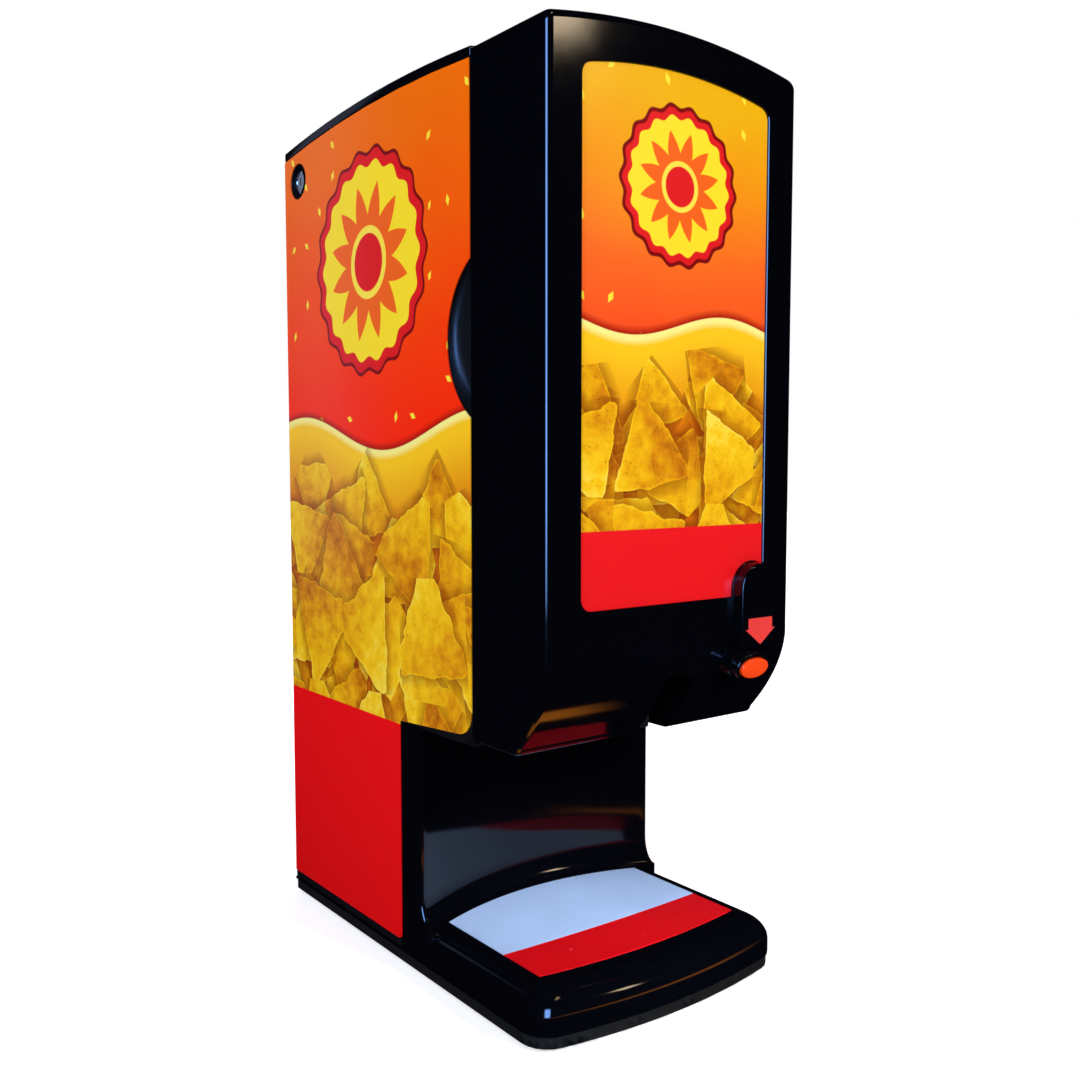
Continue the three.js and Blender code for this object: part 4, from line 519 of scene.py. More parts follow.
# %% Insulating foam
foam, tree, shader, place = start_material("open-cell insulating foam")
cells = add(tree, "ShaderNodeTexVoronoi", place, links={"Scale": 1 / (3 * MM)})
tone = add(tree, MIX, data_type="RGBA", links={0: cells, 6: linear("#C6BFA4"), 7: linear("#8F8970")})
relief = add(tree, "ShaderNodeBump", links={"Height": cells, "Distance": 0.8 * MM})
settle(tree, shader, {"Base Color": tone.outputs[2], "Normal": relief, "Roughness": 0.95})
print(foam.name)

# %% Circuit board
board_green, tree, shader, place = start_material("solder-masked circuit board")
tracks = add(tree, "ShaderNodeTexBrick", place, offset=0.35, squash=0.6, squash_frequency=3,
             links={"Color1": linear("#1B6A3C"), "Color2": linear("#175D35"),
                    "Mortar": linear("#3E9B55"), "Scale": 1 / (9 * MM), "Mortar Size": 0.035})
mask = add(tree, REMAP, tracks.outputs[1], links={"To Min": 0.3, "To Max": 0.42})
settle(tree, shader, {"Base Color": tracks, "Roughness": mask})
print(board_green.name)

# %% [markdown]
# ## Prints
# Each side and the door carry a glossy printed film: a sky from red up to orange, a round badge
# with rays, a golden wave, corn crisps heaped along the foot and a plain red band below. All of it
# is drawn by nodes from the piece's own coordinates in millimetres, so nothing is an image.
# The crisps are a group of nodes that is used once for each layer. It divides the plane into a
# grid, turns and shifts one crisp in each cell by chance, and lays it over what is under it.

# %% One layer of corn crisps
crisps = bpy.data.node_groups.new("layer of corn crisps", "ShaderNodeTree")
for name, kind in [("Place", "NodeSocketVector"), ("Under", "NodeSocketColor"),
                   ("Cell", "NodeSocketFloat"), ("Seed", "NodeSocketFloat"),
                   ("Top", "NodeSocketFloat")]:
    crisps.interface.new_socket(name, in_out="INPUT", socket_type=kind)
crisps.interface.new_socket("Colour", in_out="OUTPUT", socket_type="NodeSocketColor")
given = add(crisps, "NodeGroupInput")
sheet, under, cell, seed, top = [given.outputs[i] for i in range(5)]

turned = add(crisps, "ShaderNodeVectorRotate", sheet, rotation_type="Z_AXIS", links={"Angle": seed})
shift = add(crisps, VECTOR_MATH, turned, cell, operation="DIVIDE")
shift = add(crisps, VECTOR_MATH, shift, seed, operation="ADD")
corner = add(crisps, VECTOR_MATH, shift, operation="FLOOR")
chance = add(crisps, "ShaderNodeTexWhiteNoise", corner, seed, noise_dimensions="4D")
luck = add(crisps, "ShaderNodeSeparateColor", chance.outputs["Color"])
local = add(crisps, VECTOR_MATH, shift, corner, operation="SUBTRACT")
nudge = add(crisps, VECTOR_MATH, chance.outputs["Color"], (0.18, 0.18, 0),
            (0.41, 0.41, 0), operation="MULTIPLY_ADD")
local = add(crisps, VECTOR_MATH, local, nudge, operation="SUBTRACT")
flat = add(crisps, VECTOR_MATH, local, (1, 1, 0), operation="MULTIPLY")
spin = add(crisps, MATH, luck.outputs[2], 2 * math.pi, operation="MULTIPLY")
crisp = add(crisps, "ShaderNodeVectorRotate", flat, rotation_type="Z_AXIS", links={"Angle": spin})
print("crisp placed in its cell")

# %% [markdown]
# A crisp is a flat triangle with round corners. The smooth maximum of three distances, one for
# each side, gives that outline, and a little noise makes it uneven. A crisp is nearly even in
# tone: it is paler where it curls up to one side, it has a thin light edge, toasted clouds and
# small dark specks of roasted corn. Under it lies a soft shadow.

# %% The crisp's outline
wobble = add(crisps, NOISE, sheet, links={"Scale": 0.05, "Detail": 3})
farthest = None
for degrees in (90, 210, 330):
    facing = (math.cos(math.radians(degrees)), math.sin(math.radians(degrees)), 0)
    side = add(crisps, VECTOR_MATH, crisp, facing, operation="DOT_PRODUCT")
    farthest = side.outputs["Value"] if farthest is None else add(
        crisps, MATH, farthest, side.outputs["Value"], 0.16,
        operation="SMOOTH_MAX").outputs[0]
inside = add(crisps, MATH, wobble, 0.14, 0.27, operation="MULTIPLY_ADD")
inside = add(crisps, MATH, inside, farthest, operation="SUBTRACT")
edge = add(crisps, MATH, inside, cell, operation="MULTIPLY")
print("crisp outlined,", len(crisps.nodes), "nodes")

# %% The heap that the crisps fill
back = add(crisps, MATH, seed, -1.0, operation="MULTIPLY")
upright = add(crisps, "ShaderNodeVectorRotate", flat, rotation_type="Z_AXIS", links={"Angle": back})
middle = add(crisps, VECTOR_MATH, upright, cell, operation="MULTIPLY")
middle = add(crisps, VECTOR_MATH, sheet, middle, operation="SUBTRACT")
middle = add(crisps, "ShaderNodeSeparateXYZ", middle)
heap = add(crisps, MATH, middle, 0.045, operation="MULTIPLY")
heap = add(crisps, MATH, heap, operation="SINE")
heap = add(crisps, MATH, heap, 12.0, top, operation="MULTIPLY_ADD")
kept = add(crisps, MATH, middle.outputs[1], heap, operation="LESS_THAN")
print("crisps kept below a wavy line")

# %% Its curl, toasting and specks
sides = add(crisps, "ShaderNodeSeparateXYZ", crisp)
curl = add(crisps, MATH, sides, 0.55, 0.5, operation="MULTIPLY_ADD")
bent = add(crisps, MATH, luck.outputs[1], 0.3, -0.15, operation="MULTIPLY_ADD")
curl = add(crisps, MATH, curl, bent, operation="ADD")
blotch = add(crisps, NOISE, sheet, links={"Scale": 0.075, "Detail": 6, "Roughness": 0.62})
toast = add(crisps, MATH, blotch, 1.1, -0.55, operation="MULTIPLY_ADD")
toast = add(crisps, MATH, curl, toast, operation="ADD")
rim = add(crisps, REMAP, edge, 0.4, 2.2, 0.22, 0.0)
toast = add(crisps, MATH, toast, rim, operation="ADD")
gold = add(crisps, "ShaderNodeValToRGB", toast)
stops = gold.color_ramp.elements
stops[0].color, stops[1].color = linear("#A9580A"), linear("#FFE04A")
for position, colour in [(0.25, "#D6840A"), (0.5, "#EFAE0C"), (0.75, "#FBCA18")]:
    stops.new(position).color = linear(colour)
specks = add(crisps, "ShaderNodeTexVoronoi", sheet, links={"Scale": 0.3, "Randomness": 1.0})
speck = add(crisps, REMAP, specks, 0.2, 0.09, 0.0, 0.85)
seldom = add(crisps, REMAP, blotch, 0.42, 0.55, 1.0, 0.15)
speck = add(crisps, MATH, speck, seldom, operation="MULTIPLY")
roasted = add(crisps, MIX, data_type="RGBA", links={0: speck, 6: gold, 7: linear("#6E3206")})

shade = add(crisps, REMAP, edge, -11.0, 0.0, 0.0, 0.6)
shade = add(crisps, MATH, shade, kept, operation="MULTIPLY")
shaded = add(crisps, MIX, data_type="RGBA", links={0: shade, 6: under, 7: linear("#8A3604")})
cover = add(crisps, REMAP, edge, 0.0, 0.5, 0.0, 1.0)
cover = add(crisps, MATH, cover, kept, operation="MULTIPLY")
laid = add(crisps, MIX, data_type="RGBA", links={0: cover, 6: shaded.outputs[2], 7: roasted.outputs[2]})
add(crisps, "NodeGroupOutput", laid.outputs[2])
print("crisp layer:", len(crisps.nodes), "nodes")

# %% [markdown]
# The rest of the print is the same for every film, and only its sizes differ: where the badge
# sits, how high the wave and the heap reach, and where the red band starts. One recipe takes them
# as numbers. A clear film over the ink makes it glossy.

# %% Recipe for inks and for the sky
def lay_inks(tree, colour, inks):
    """Lays inks over a colour. Each sets in where a distance passes its start, over a width."""
    for distance, start, width, ink in inks:
        share = add(tree, REMAP, distance, start, start + width)
        over = add(tree, MIX, data_type="RGBA", links={0: share, 6: colour, 7: linear(ink)})
        colour = over.outputs[2]
    return colour


def sky_colours(tree, sheet, tall, sizes, sky_stops):
    """A run of colours from the foot of the film to its top, with a slow drift in it."""
    height = add(tree, REMAP, tall, sizes["band"], sizes["top"])
    drift = add(tree, NOISE, sheet, links={"Scale": 0.012, "Detail": 1})
    height = add(tree, MATH, drift, 0.12, height, operation="MULTIPLY_ADD")
    sky = add(tree, "ShaderNodeValToRGB", height)
    stops = sky.color_ramp.elements
    stops[0].position, stops[0].color = sky_stops[0][0], linear(sky_stops[0][1])
    stops[1].position, stops[1].color = sky_stops[-1][0], linear(sky_stops[-1][1])
    for position, colour in sky_stops[1:-1]:
        stops.new(position).color = linear(colour)
    return sky.outputs[0]


print("recipe for the sky ready")

# %% Recipe for the badge and the lozenges
def badge(tree, colour, sheet, centre, radius):
    """A scalloped red rim, a yellow field and a ring of rays. Gives the colour and the depth in."""
    around = add(tree, VECTOR_MATH, sheet, (*centre, 0), operation="SUBTRACT")
    spread = add(tree, VECTOR_MATH, around, operation="LENGTH")
    turn = add(tree, "ShaderNodeSeparateXYZ", around)
    turn = add(tree, MATH, turn.outputs[1], turn, operation="ARCTAN2")
    scallop = add(tree, MATH, turn, 18.0, operation="MULTIPLY")
    scallop = add(tree, MATH, scallop, operation="COSINE")
    scallop = add(tree, MATH, scallop, radius * 0.03, radius, operation="MULTIPLY_ADD")
    depth = add(tree, MATH, scallop, spread.outputs["Value"], operation="SUBTRACT")
    rays = add(tree, MATH, turn, 12 / math.pi, operation="MULTIPLY")
    rays = add(tree, MATH, rays, 1.0, operation="PINGPONG")
    rays = add(tree, MATH, rays, radius * 0.3, radius * 0.44, operation="MULTIPLY_ADD")
    rays = add(tree, MATH, rays, spread.outputs["Value"], operation="SUBTRACT")
    core = add(tree, MATH, radius * 0.34, spread.outputs["Value"], operation="SUBTRACT")
    ring = radius * 0.1
    inks = [(depth, -3.0, "#7C0A0C"), (depth, 0.0, "#E01A1E"), (depth, ring, "#FFE02A"),
            (rays, 0.0, "#F5641A"), (core, 0.0, "#FFE24A"), (core, ring * 0.7, "#E01A1E")]
    edged = [(distance, start, 0.7, ink) for distance, start, ink in inks]
    return lay_inks(tree, colour, edged), depth


def lozenges(tree, colour, sheet, tall, depth, scatter):
    """Small yellow lozenges, thinly scattered above a height and clear of the badge."""
    grid = add(tree, VECTOR_MATH, sheet, (1 / 26, 1 / 26, 0), operation="MULTIPLY")
    lot = add(tree, VECTOR_MATH, grid, operation="FLOOR")
    chance = add(tree, "ShaderNodeTexWhiteNoise", lot, noise_dimensions="3D")
    local = add(tree, VECTOR_MATH, grid, lot, operation="SUBTRACT")
    local = add(tree, VECTOR_MATH, local, (0.5, 0.5, 0), operation="SUBTRACT")
    tilt = add(tree, MATH, chance.outputs["Value"], 6.0, operation="MULTIPLY")
    local = add(tree, "ShaderNodeVectorRotate", local, rotation_type="Z_AXIS", links={"Angle": tilt})
    local = add(tree, VECTOR_MATH, local, operation="ABSOLUTE")
    local = add(tree, VECTOR_MATH, local, (1.0, 1.9, 0), operation="DOT_PRODUCT")
    share = add(tree, REMAP, local.outputs["Value"], 0.2, 0.17)
    thin = add(tree, MATH, chance.outputs["Value"], 0.62, operation="GREATER_THAN")
    clear = add(tree, MATH, depth, -9.0, operation="LESS_THAN")
    high = add(tree, MATH, tall, scatter, operation="GREATER_THAN")
    for test in (thin, clear, high):
        share = add(tree, MATH, share, test, operation="MULTIPLY")
    over = add(tree, MIX, data_type="RGBA", links={0: share, 6: colour, 7: linear("#FFE43A")})
    return over.outputs[2]


print("recipe for the badge ready")

# %% Recipe for a whole film
def printed_film(name, across, sizes, sky_stops, glow):
    """Across is the axis that runs along the print. Sizes are in millimetres on that plane."""
    made, tree, shader, place = start_material(name)
    in_mm = add(tree, VECTOR_MATH, place, operation="SCALE", links={"Scale": 1 / MM})
    in_mm = add(tree, VECTOR_MATH, in_mm, (0, front_plane, lift), operation="SUBTRACT")
    axes = add(tree, "ShaderNodeSeparateXYZ", in_mm)
    along, tall = axes.outputs["XYZ".index(across)], axes.outputs[2]
    sheet = add(tree, "ShaderNodeCombineXYZ", along, tall).outputs[0]

    colour = sky_colours(tree, sheet, tall, sizes, sky_stops)
    colour, depth = badge(tree, colour, sheet, sizes["badge"], sizes["radius"])
    colour = lozenges(tree, colour, sheet, tall, depth, sizes["scatter"])

    # Golden wave with a pale crest
    swell = add(tree, MATH, along, 1 / sizes["swell"], operation="MULTIPLY")
    swell = add(tree, MATH, swell, operation="SINE")
    swell = add(tree, MATH, swell, sizes["rise"], sizes["wave"], operation="MULTIPLY_ADD")
    below = add(tree, MATH, swell, tall, operation="SUBTRACT")
    colour = lay_inks(tree, colour, [
        (below, -6.0, 6.0, "#A81208"), (below, 0.0, 0.8, "#FFF08A"), (below, 3.5, 5.0, "#FFC81C"),
        (below, 14.0, 60.0, "#E07A08")])

    # Five layers of crisps, the largest in front
    for size, seed, drop in [(0.8, 2.3, 6), (0.85, 5.1, 12), (0.92, 7.7, 22), (1.0, 11.9, 34),
                             (1.06, 14.2, 52)]:
        heap = add(tree, "ShaderNodeGroup", sheet, colour, sizes["crisp"] * size, seed,
                   sizes["heap"] - drop, node_tree=crisps)
        colour = heap.outputs[0]

    # Red band along the foot, a little darker towards the bottom
    foot = add(tree, MATH, sizes["band"], tall, operation="SUBTRACT")
    colour = lay_inks(tree, colour, [(foot, 0.0, 0.6, sizes["band_top"]),
                                     (foot, 8.0, 140.0, sizes["band_foot"])])

    smear = add(tree, NOISE, place, links={"Scale": 1 / (25 * MM), "Detail": 3})
    rough = add(tree, REMAP, smear, links={"To Min": 0.12, "To Max": 0.2})
    settle(tree, shader, {"Base Color": colour, "Roughness": rough, "IOR": 1.5})
    if glow:
        settle(tree, shader, {"Emission Color": colour, "Emission Strength": glow})
    print(name, len(tree.nodes), "nodes")
    return made


# Side film: screen ink under a clear gloss laminate on the painted panel
side_print = printed_film(
    "glossy printed side film", "Y",
    {"band": 181, "top": 690, "badge": (238, 556), "radius": 88, "scatter": 420, "swell": 46,
     "rise": 15, "wave": 418, "crisp": 92, "heap": 378, "band_top": "#F20A12",
     "band_foot": "#E6080E"},
    [(0.0, "#E81006"), (0.42, "#FF1604"), (0.62, "#FF3404"), (0.8, "#FA5602"), (1.0, "#F66E02")],
    0.0)
# Door film: ink on a white translucent film, lit from behind by the lamps, so it glows a little
front_print = printed_film(
    "back-lit printed door film", "X",
    {"band": 346, "top": 668, "badge": (0, 590), "radius": 54, "scatter": 480, "swell": 30,
     "rise": 9, "wave": 492, "crisp": 66, "heap": 466, "band_top": "#F0181E",
     "band_foot": "#D80E14"},
    [(0.0, "#F02A1A"), (0.45, "#F8481E"), (0.66, "#FA6A1E"), (0.85, "#F5980E"),
     (1.0, "#F0B208")],
    0.12)

# %% [markdown]
# ## Door skin
# The door is one moulding: a flat front that rolls over into the sides, an arched top, and a chin
# that curls back under it. Its side profile is drawn once, and one such outline stands at each of
# many places across the door. Near the two sides the outline is drawn in along a quarter circle,
# so the rounded edge runs down the front and round the chin without a break.

# %% Side profile of the door
half_width = 123.5
door_depth = 87.0
door_bottom = 186.0
edge_top = 687.0
crown_rise = 12.5
edge_round = 7.0
top_corner = 11.0
hinge_round = 8.0
wall = 3.5
lip_points = [(41, 0), (38.4, 0.5), (36.5, 1.8)]
chin_curve = [(35, 191), (3, 226), (0, 255)]
chin_steps = 32


def door_top(x, drawn):
    """Height of the door's top surface at x, drawn in by a wall thickness."""
    half = half_width - drawn
    radius = bow_radius(half_width, crown_rise)
    centre = edge_top + crown_rise - radius
    radius -= drawn
    corner = top_corner - drawn
    fillet_x = half - corner
    fillet_z = centre + math.sqrt((radius - corner) ** 2 - fillet_x ** 2)
    turn = math.atan2(fillet_z - centre, fillet_x)
    if abs(x) > fillet_x + corner * math.cos(turn):
        return fillet_z + math.sqrt(max(corner ** 2 - (abs(x) - fillet_x) ** 2, 0))
    return centre + math.sqrt(radius ** 2 - x ** 2)


def door_profile(x, drawn, rear):
    """Closed outline (depth, z) of the door body at x, all with the same number of points."""
    side = half_width - drawn - abs(x)
    rounding = edge_round - drawn
    inset = drawn
    if side < rounding:
        inset += rounding - math.sqrt(max(rounding ** 2 - (rounding - side) ** 2, 0))
    back = rear
    pivot_x = half_width - hinge_round
    if x > pivot_x and rear > door_depth - hinge_round:
        corner = hinge_round - drawn
        back = door_depth - hinge_round + math.sqrt(max(corner ** 2 - (x - pivot_x) ** 2, 0))
    points = [(back, door_bottom + inset)]
    points += [(depth + inset, door_bottom + rise + inset) for depth, rise in lip_points]
    for i in range(chin_steps + 1):
        share = i / chin_steps
        points.append(tuple((1 - share) ** 2 * a + 2 * share * (1 - share) * b + share ** 2 * c
                            + inset for a, b, c in zip(*chin_curve)))
    top = door_top(x, drawn)
    lead = max(drawn + rounding - inset, 0.2)
    for i in range(corner_steps + 1):
        turn = math.pi - 0.5 * math.pi * i / corner_steps
        points.append((inset + lead + lead * math.cos(turn), top - lead + lead * math.sin(turn)))
    points.append((back, top))
    return points


def door_body(name, drawn, rear):
    limit = half_width - drawn
    rolled = [limit - (top_corner - top_corner * math.cos(a)) for a in np.linspace(0, math.pi / 2, 13)]
    inner = np.linspace(-rolled[-1], rolled[-1], 33)[1:-1]
    stations = [-x for x in rolled] + list(inner) + rolled[::-1]
    rings = [[at(x, t, z) for t, z in door_profile(x, drawn, rear)] for x in stations]
    return loft(name, rings)


door_shell = door_body("door_skin", 0.0, door_depth)
print("door body", len(door_shell.data.polygons), "faces")

# %% [markdown]
# The same body, drawn in by the wall, hollows the shell out. The light window, the notch for the
# cheese tube, the room for the hinges and the socket of the button are cut after that. The window
# recess gets a small chamfer, because a moulded edge is never sharp and the chamfer catches light.

# %% Tilted frame of the button
button_centre = at(69, -12.5, 236)
button_half_width, button_half_height = 14.5, 8
barrel_wall = 3.8
plate_middle, plate_half_width, plate_foot, plate_top = 79.5, 20.5, 249, 316
button_frame = Matrix.Translation(button_centre) @ Matrix.Rotation(math.pi / 2 + button_tilt, 4, "X")


def oval_loft(name, levels, steps=64):
    """Ovals in the button's tilted frame, as (height, how much wider than the button) pairs."""
    rings = []
    for height, extra in levels:
        ring = []
        for i in range(steps):
            angle = 2 * math.pi * i / steps
            flat = Vector(((button_half_width + extra) * math.cos(angle),
                           (button_half_height + extra) * math.sin(angle), height))
            ring.append(button_frame @ (flat * MM))
        rings.append(ring)
    return loft(name, rings)


def barrel_room():
    """The hole that the button's barrel leaves in what lies round it."""
    return oval_loft("barrel_room", [(-48, barrel_wall + 0.3), (6, barrel_wall + 0.3)])


def button_rod(name, radius, low, high):
    """A round rod on the button's axis."""
    return loft(name, [[button_frame @ (Vector((radius * math.cos(a), radius * math.sin(a), height)) * MM)
                        for a in np.linspace(0, 2 * math.pi, 33)[:-1]] for height in (low, high)])


def pill_outline(drawn):
    half = plate_half_width - drawn
    sides = [(plate_middle - half, plate_foot + drawn), (plate_middle + half, plate_foot + drawn)]
    return sides + arc((plate_middle, plate_top - plate_half_width), half, 0, math.pi, 28)


print("button centre", tuple(round(c, 4) for c in button_centre))

# %% Cut the door skin
notch_middle = 10


def notch_outline(extra):
    half, roof, corner = 16 + extra, 236 + extra, 10 + extra
    left, right = notch_middle - half, notch_middle + half
    return [(left, 150), (right, 150),
            *arc((right - corner, roof - corner), corner, 0, 0.5 * math.pi),
            *arc((left + corner, roof - corner), corner, 0.5 * math.pi, math.pi)]


window = {"half": 91.5, "bottom": 290, "edge": 659, "rise": 10.5, "corner": 10}
notch_walls = front_prism("notch_walls", notch_outline(3), -6, door_depth + 6)
carve(notch_walls, "INTERSECT", door_body("limit", 0.0, door_depth))
carve(door_shell, "DIFFERENCE", door_body("hollow", wall, door_depth + 6))
carve(door_shell, "UNION", notch_walls)
root = oval_loft("root", [(-26, barrel_wall + 9), (-22, barrel_wall + 4.6),
                          (-17, barrel_wall + 2.25), (-12, barrel_wall + 1.5),
                          (-8, barrel_wall + 1.3), (-7.2, barrel_wall + 1.0),
                          (-7, barrel_wall + 0.5)])
carve(root, "DIFFERENCE", front_prism("pill_room", pill_outline(-0.3), -20, 0))
carve(door_shell, "UNION", root)

recess = loft("recess", [[at(x, depth, z) for x, z in arch_outline(**window, inset=drawn)]
                         for depth, drawn in [(-3, -3.4), (0.4, 0), (2.6, 0)]])
sight = front_prism("sight", arch_outline(**window, inset=3), -6, wall + 6)
carve(recess, "UNION", sight)
carve(recess, "DIFFERENCE", front_prism("pill_guard", pill_outline(-0.6), -6, door_depth))
carve(door_shell, "DIFFERENCE", recess,
      front_prism("notch", notch_outline(0), -6, door_depth + 6),
      barrel_room())
print("door skin", len(door_shell.data.polygons), "faces")

# %% [markdown]
# Each hinge plate reaches into the door's rear corner, and the door needs a slot there that stays
# clear while it swings. The slot is the shape that the plate's arm sweeps through from shut to
# past the widest opening, drawn from above as a fan round the pin.

# %% Hinge slots
pivot_x, pivot_depth = half_width - hinge_round, door_depth - hinge_round
clear = 5.6
arm_reach = 24
fan_shape = arc((pivot_x, pivot_depth), clear, math.pi, math.pi * 1.5 - math.radians(15))
start_turn = math.radians(90)
end_turn = math.radians(-15)
fan_shape.append((pivot_x + arm_reach * math.cos(end_turn) + clear * math.sin(end_turn),
                  pivot_depth + arm_reach * math.sin(end_turn) - clear * math.cos(end_turn)))
for turn in np.linspace(end_turn, start_turn, 16):
    fan_shape.append((pivot_x + 24.6 * math.cos(turn), pivot_depth + 24.6 * math.sin(turn)))
fan_shape.append((pivot_x - clear, pivot_depth + arm_reach))
slots = [plan_prism(f"hinge_slot_{i}", fan_shape, z - 0.6, z + 3.6) for i, z in enumerate((661, 262))]
carve(door_shell, "DIFFERENCE", *slots)
finish_piece(door_shell, gloss_black, "door", "gloss_black", "door_shell")

# %% [markdown]
# ## Raised plate, button barrel and button
# The plate beside the window is a thin pill with a softly rounded edge. The barrel stands out of
# the door, tilted up by 15 degrees, and ends in a rounded bezel. The button's cap is a low dome:
# each oval on it is drawn in along an ellipse, so its highlight is one soft spot.

# %% Plate, barrel and button
levels = [(0.3, 0.0), (-6.8, 0.6)]
levels += [(-6.8 - 2.2 * math.sin(a), 0.6 + 2.2 * (1 - math.cos(a)))
           for a in np.linspace(0, math.pi / 2, 8)[1:]]
push_plate = loft("push_plate_skin", [[at(x, depth, z) for x, z in pill_outline(drawn)]
                                      for depth, drawn in levels])
carve(push_plate, "DIFFERENCE", barrel_room())
finish_piece(push_plate, gloss_black, "door", "gloss_black", "push_plate")

bezel = [(-42, barrel_wall)]
bezel += [(-1.9 + 1.6 * math.sin(a), barrel_wall - 1.6 + 1.6 * math.cos(a))
          for a in np.linspace(0, math.pi / 2, 9)]
bezel += [(-0.3 - 0.6 * (1 - math.cos(a)), 1.1 - 0.6 * math.sin(a))
          for a in np.linspace(0, math.pi / 2, 5)]
button_barrel = oval_loft("button_barrel_skin", bezel + [(-19, 0.5)])
carve(button_barrel, "DIFFERENCE",
      oval_loft("rear_room", [(-48, 0.5), (-22.5, 0.5)]),
      oval_loft("seat", [(-20, 0.5), (-0.2, 0.5)]),
      button_rod("stem_hole", 3.1, -30, -15))
finish_piece(button_barrel, gloss_black, "door", "gloss_black", "button_barrel")

cap = [(-9, 0.0), (1.0, 0.0)]
cap += [(1.0 + 1.25 * math.sin(a), -5.2 * (1 - math.cos(a)) ** 1.3)
        for a in np.linspace(0.1, math.pi / 2, 12)]
push_button = oval_loft("push_button_cap", cap)
for name, radius, low, high in [("stem", 2.6, -24.3, -8.7), ("clip", 4.1, -24.3, -22.8)]:
    carve(push_button, "UNION", button_rod(name, radius, low, high))
finish_piece(push_button, button_orange, "push_button", "button_orange", "push_button")

# %% [markdown]
# A plain red arrow on the plate points down at the button. It is ink, so it stands only a quarter
# of a millimetre proud.

# %% Arrow
arrow_points = [(-13.2, 273.5), (-13.2, 265), (-16.4, 265), (0, 252.8), (16.4, 265),
                (13.2, 265), (13.2, 273.5)]
arrow_rings = [[at(plate_middle + x - drawn * np.sign(x), depth, z - drawn * np.sign(z - 268))
                for x, z in arrow_points]
               for depth, drawn in [(-8.95, 0.0), (-9.2, 0.0), (-9.28, 0.12)]]
arrow = loft("push_arrow", arrow_rings)
finish_piece(arrow, arrow_red, "door", "tray_red", sharp=20)

# %% [markdown]
# ## Base, column and top cover
# The base cover is a shallow dome with a bowed nose. Each ring of its shoulder is drawn in along a
# quarter of an ellipse, 25 mm wide and 19 mm high, which gives the broad soft highlight round the
# foot of the machine.

# %% Base cover
nose_reach = 6.0
nose_sag = 15.0
lower_front = 192.0
base_top = 21.5
base_bottom = -8.7
shoulder_width, shoulder_height = 25, 19


def base_outline(drawn, rear):
    bow = bow_radius(half_width, nose_sag)
    centre, radius, side = bow - nose_reach, bow - drawn, half_width - drawn
    corner = max(24 - drawn / 2, 0.3)
    fillet_x = side - corner
    fillet_y = centre - math.sqrt((radius - corner) ** 2 - fillet_x ** 2)
    turn = math.atan2(fillet_y - centre, fillet_x)
    return [(side, rear - drawn), (-side, rear - drawn),
            *arc((-fillet_x, fillet_y), corner, math.pi, math.pi - turn),
            *arc((0, centre), radius, -math.pi - turn, turn, 64)[1:-1],
            *arc((fillet_x, fillet_y), corner, turn, 0)]


def dome(name, drawn, bottom):
    rear = lower_front + shoulder_width
    rings = [[at(x, y, bottom) for x, y in base_outline(drawn, rear)]]
    for turn in np.linspace(0, math.pi / 2, 19):
        inset = drawn + shoulder_width * (1 - math.cos(turn))
        height = base_top - drawn - shoulder_height * (1 - math.sin(turn))
        rings.append([at(x, y, height) for x, y in base_outline(inset, rear)])
    return loft(name, rings)


def box(name, left, right, front, rear, bottom, top):
    return plan_prism(name, [(left, front), (right, front), (right, rear), (left, rear)], bottom, top)


def tray_outline(front, rear, drawn, bows):
    half = 100 - drawn
    rows = []
    for middle, bow in ((front + drawn, bows[0]), (rear - drawn, bows[1])):
        radius = bow_radius(half, bow)
        rows.append([(x, middle + radius - math.copysign(math.sqrt(radius ** 2 - x ** 2), radius))
                     for x in np.linspace(-half, half, 41)])
    return rows[0] + rows[1][::-1]


print("base cover", 2 * half_width, "mm wide")

# %% [markdown]
# The column's sheet is bowed inwards from side to side. At its foot it flares forward along a
# quarter of an ellipse, and the base cover rises under it with the same outline. The tray plate
# and its red band lie in a shallow seat with a chamfered edge.

# %% Column and its foot
column_front = 165.0
column_hollow = 26.0
column_flare = 13.0
flare_rise = 24.0


def column_path(drawn, flare):
    side, corner = half_width - drawn, 5.0
    half = side - corner
    bow = bow_radius(half, column_hollow)
    sweep = math.asin(half / bow)
    front = column_front + drawn - flare
    centre = front + column_hollow - bow
    return [(side, lower_front - 0.3), *arc((half, front + corner), corner, 0, -0.5 * math.pi),
            *arc((0, centre), bow, 0.5 * math.pi - sweep, 0.5 * math.pi + sweep, 48)[1:-1],
            *arc((-half, front + corner), corner, -0.5 * math.pi, -math.pi),
            (-side, lower_front - 0.3)]


rings = []
for turn in [*np.linspace(0, math.pi / 2, 16), None]:
    flare = 0.0 if turn is None else column_flare * (1 - math.sin(turn))
    height = 182.7 if turn is None else base_top + 0.3 + flare_rise * (1 - math.cos(turn))
    outline = column_path(0, flare) + column_path(3, flare)[::-1]
    rings.append([at(x, y, height) for x, y in outline])
column_skin = loft("column_skin", rings)
finish_piece(column_skin, gloss_black, "cabinet", "gloss_black", "column_front")

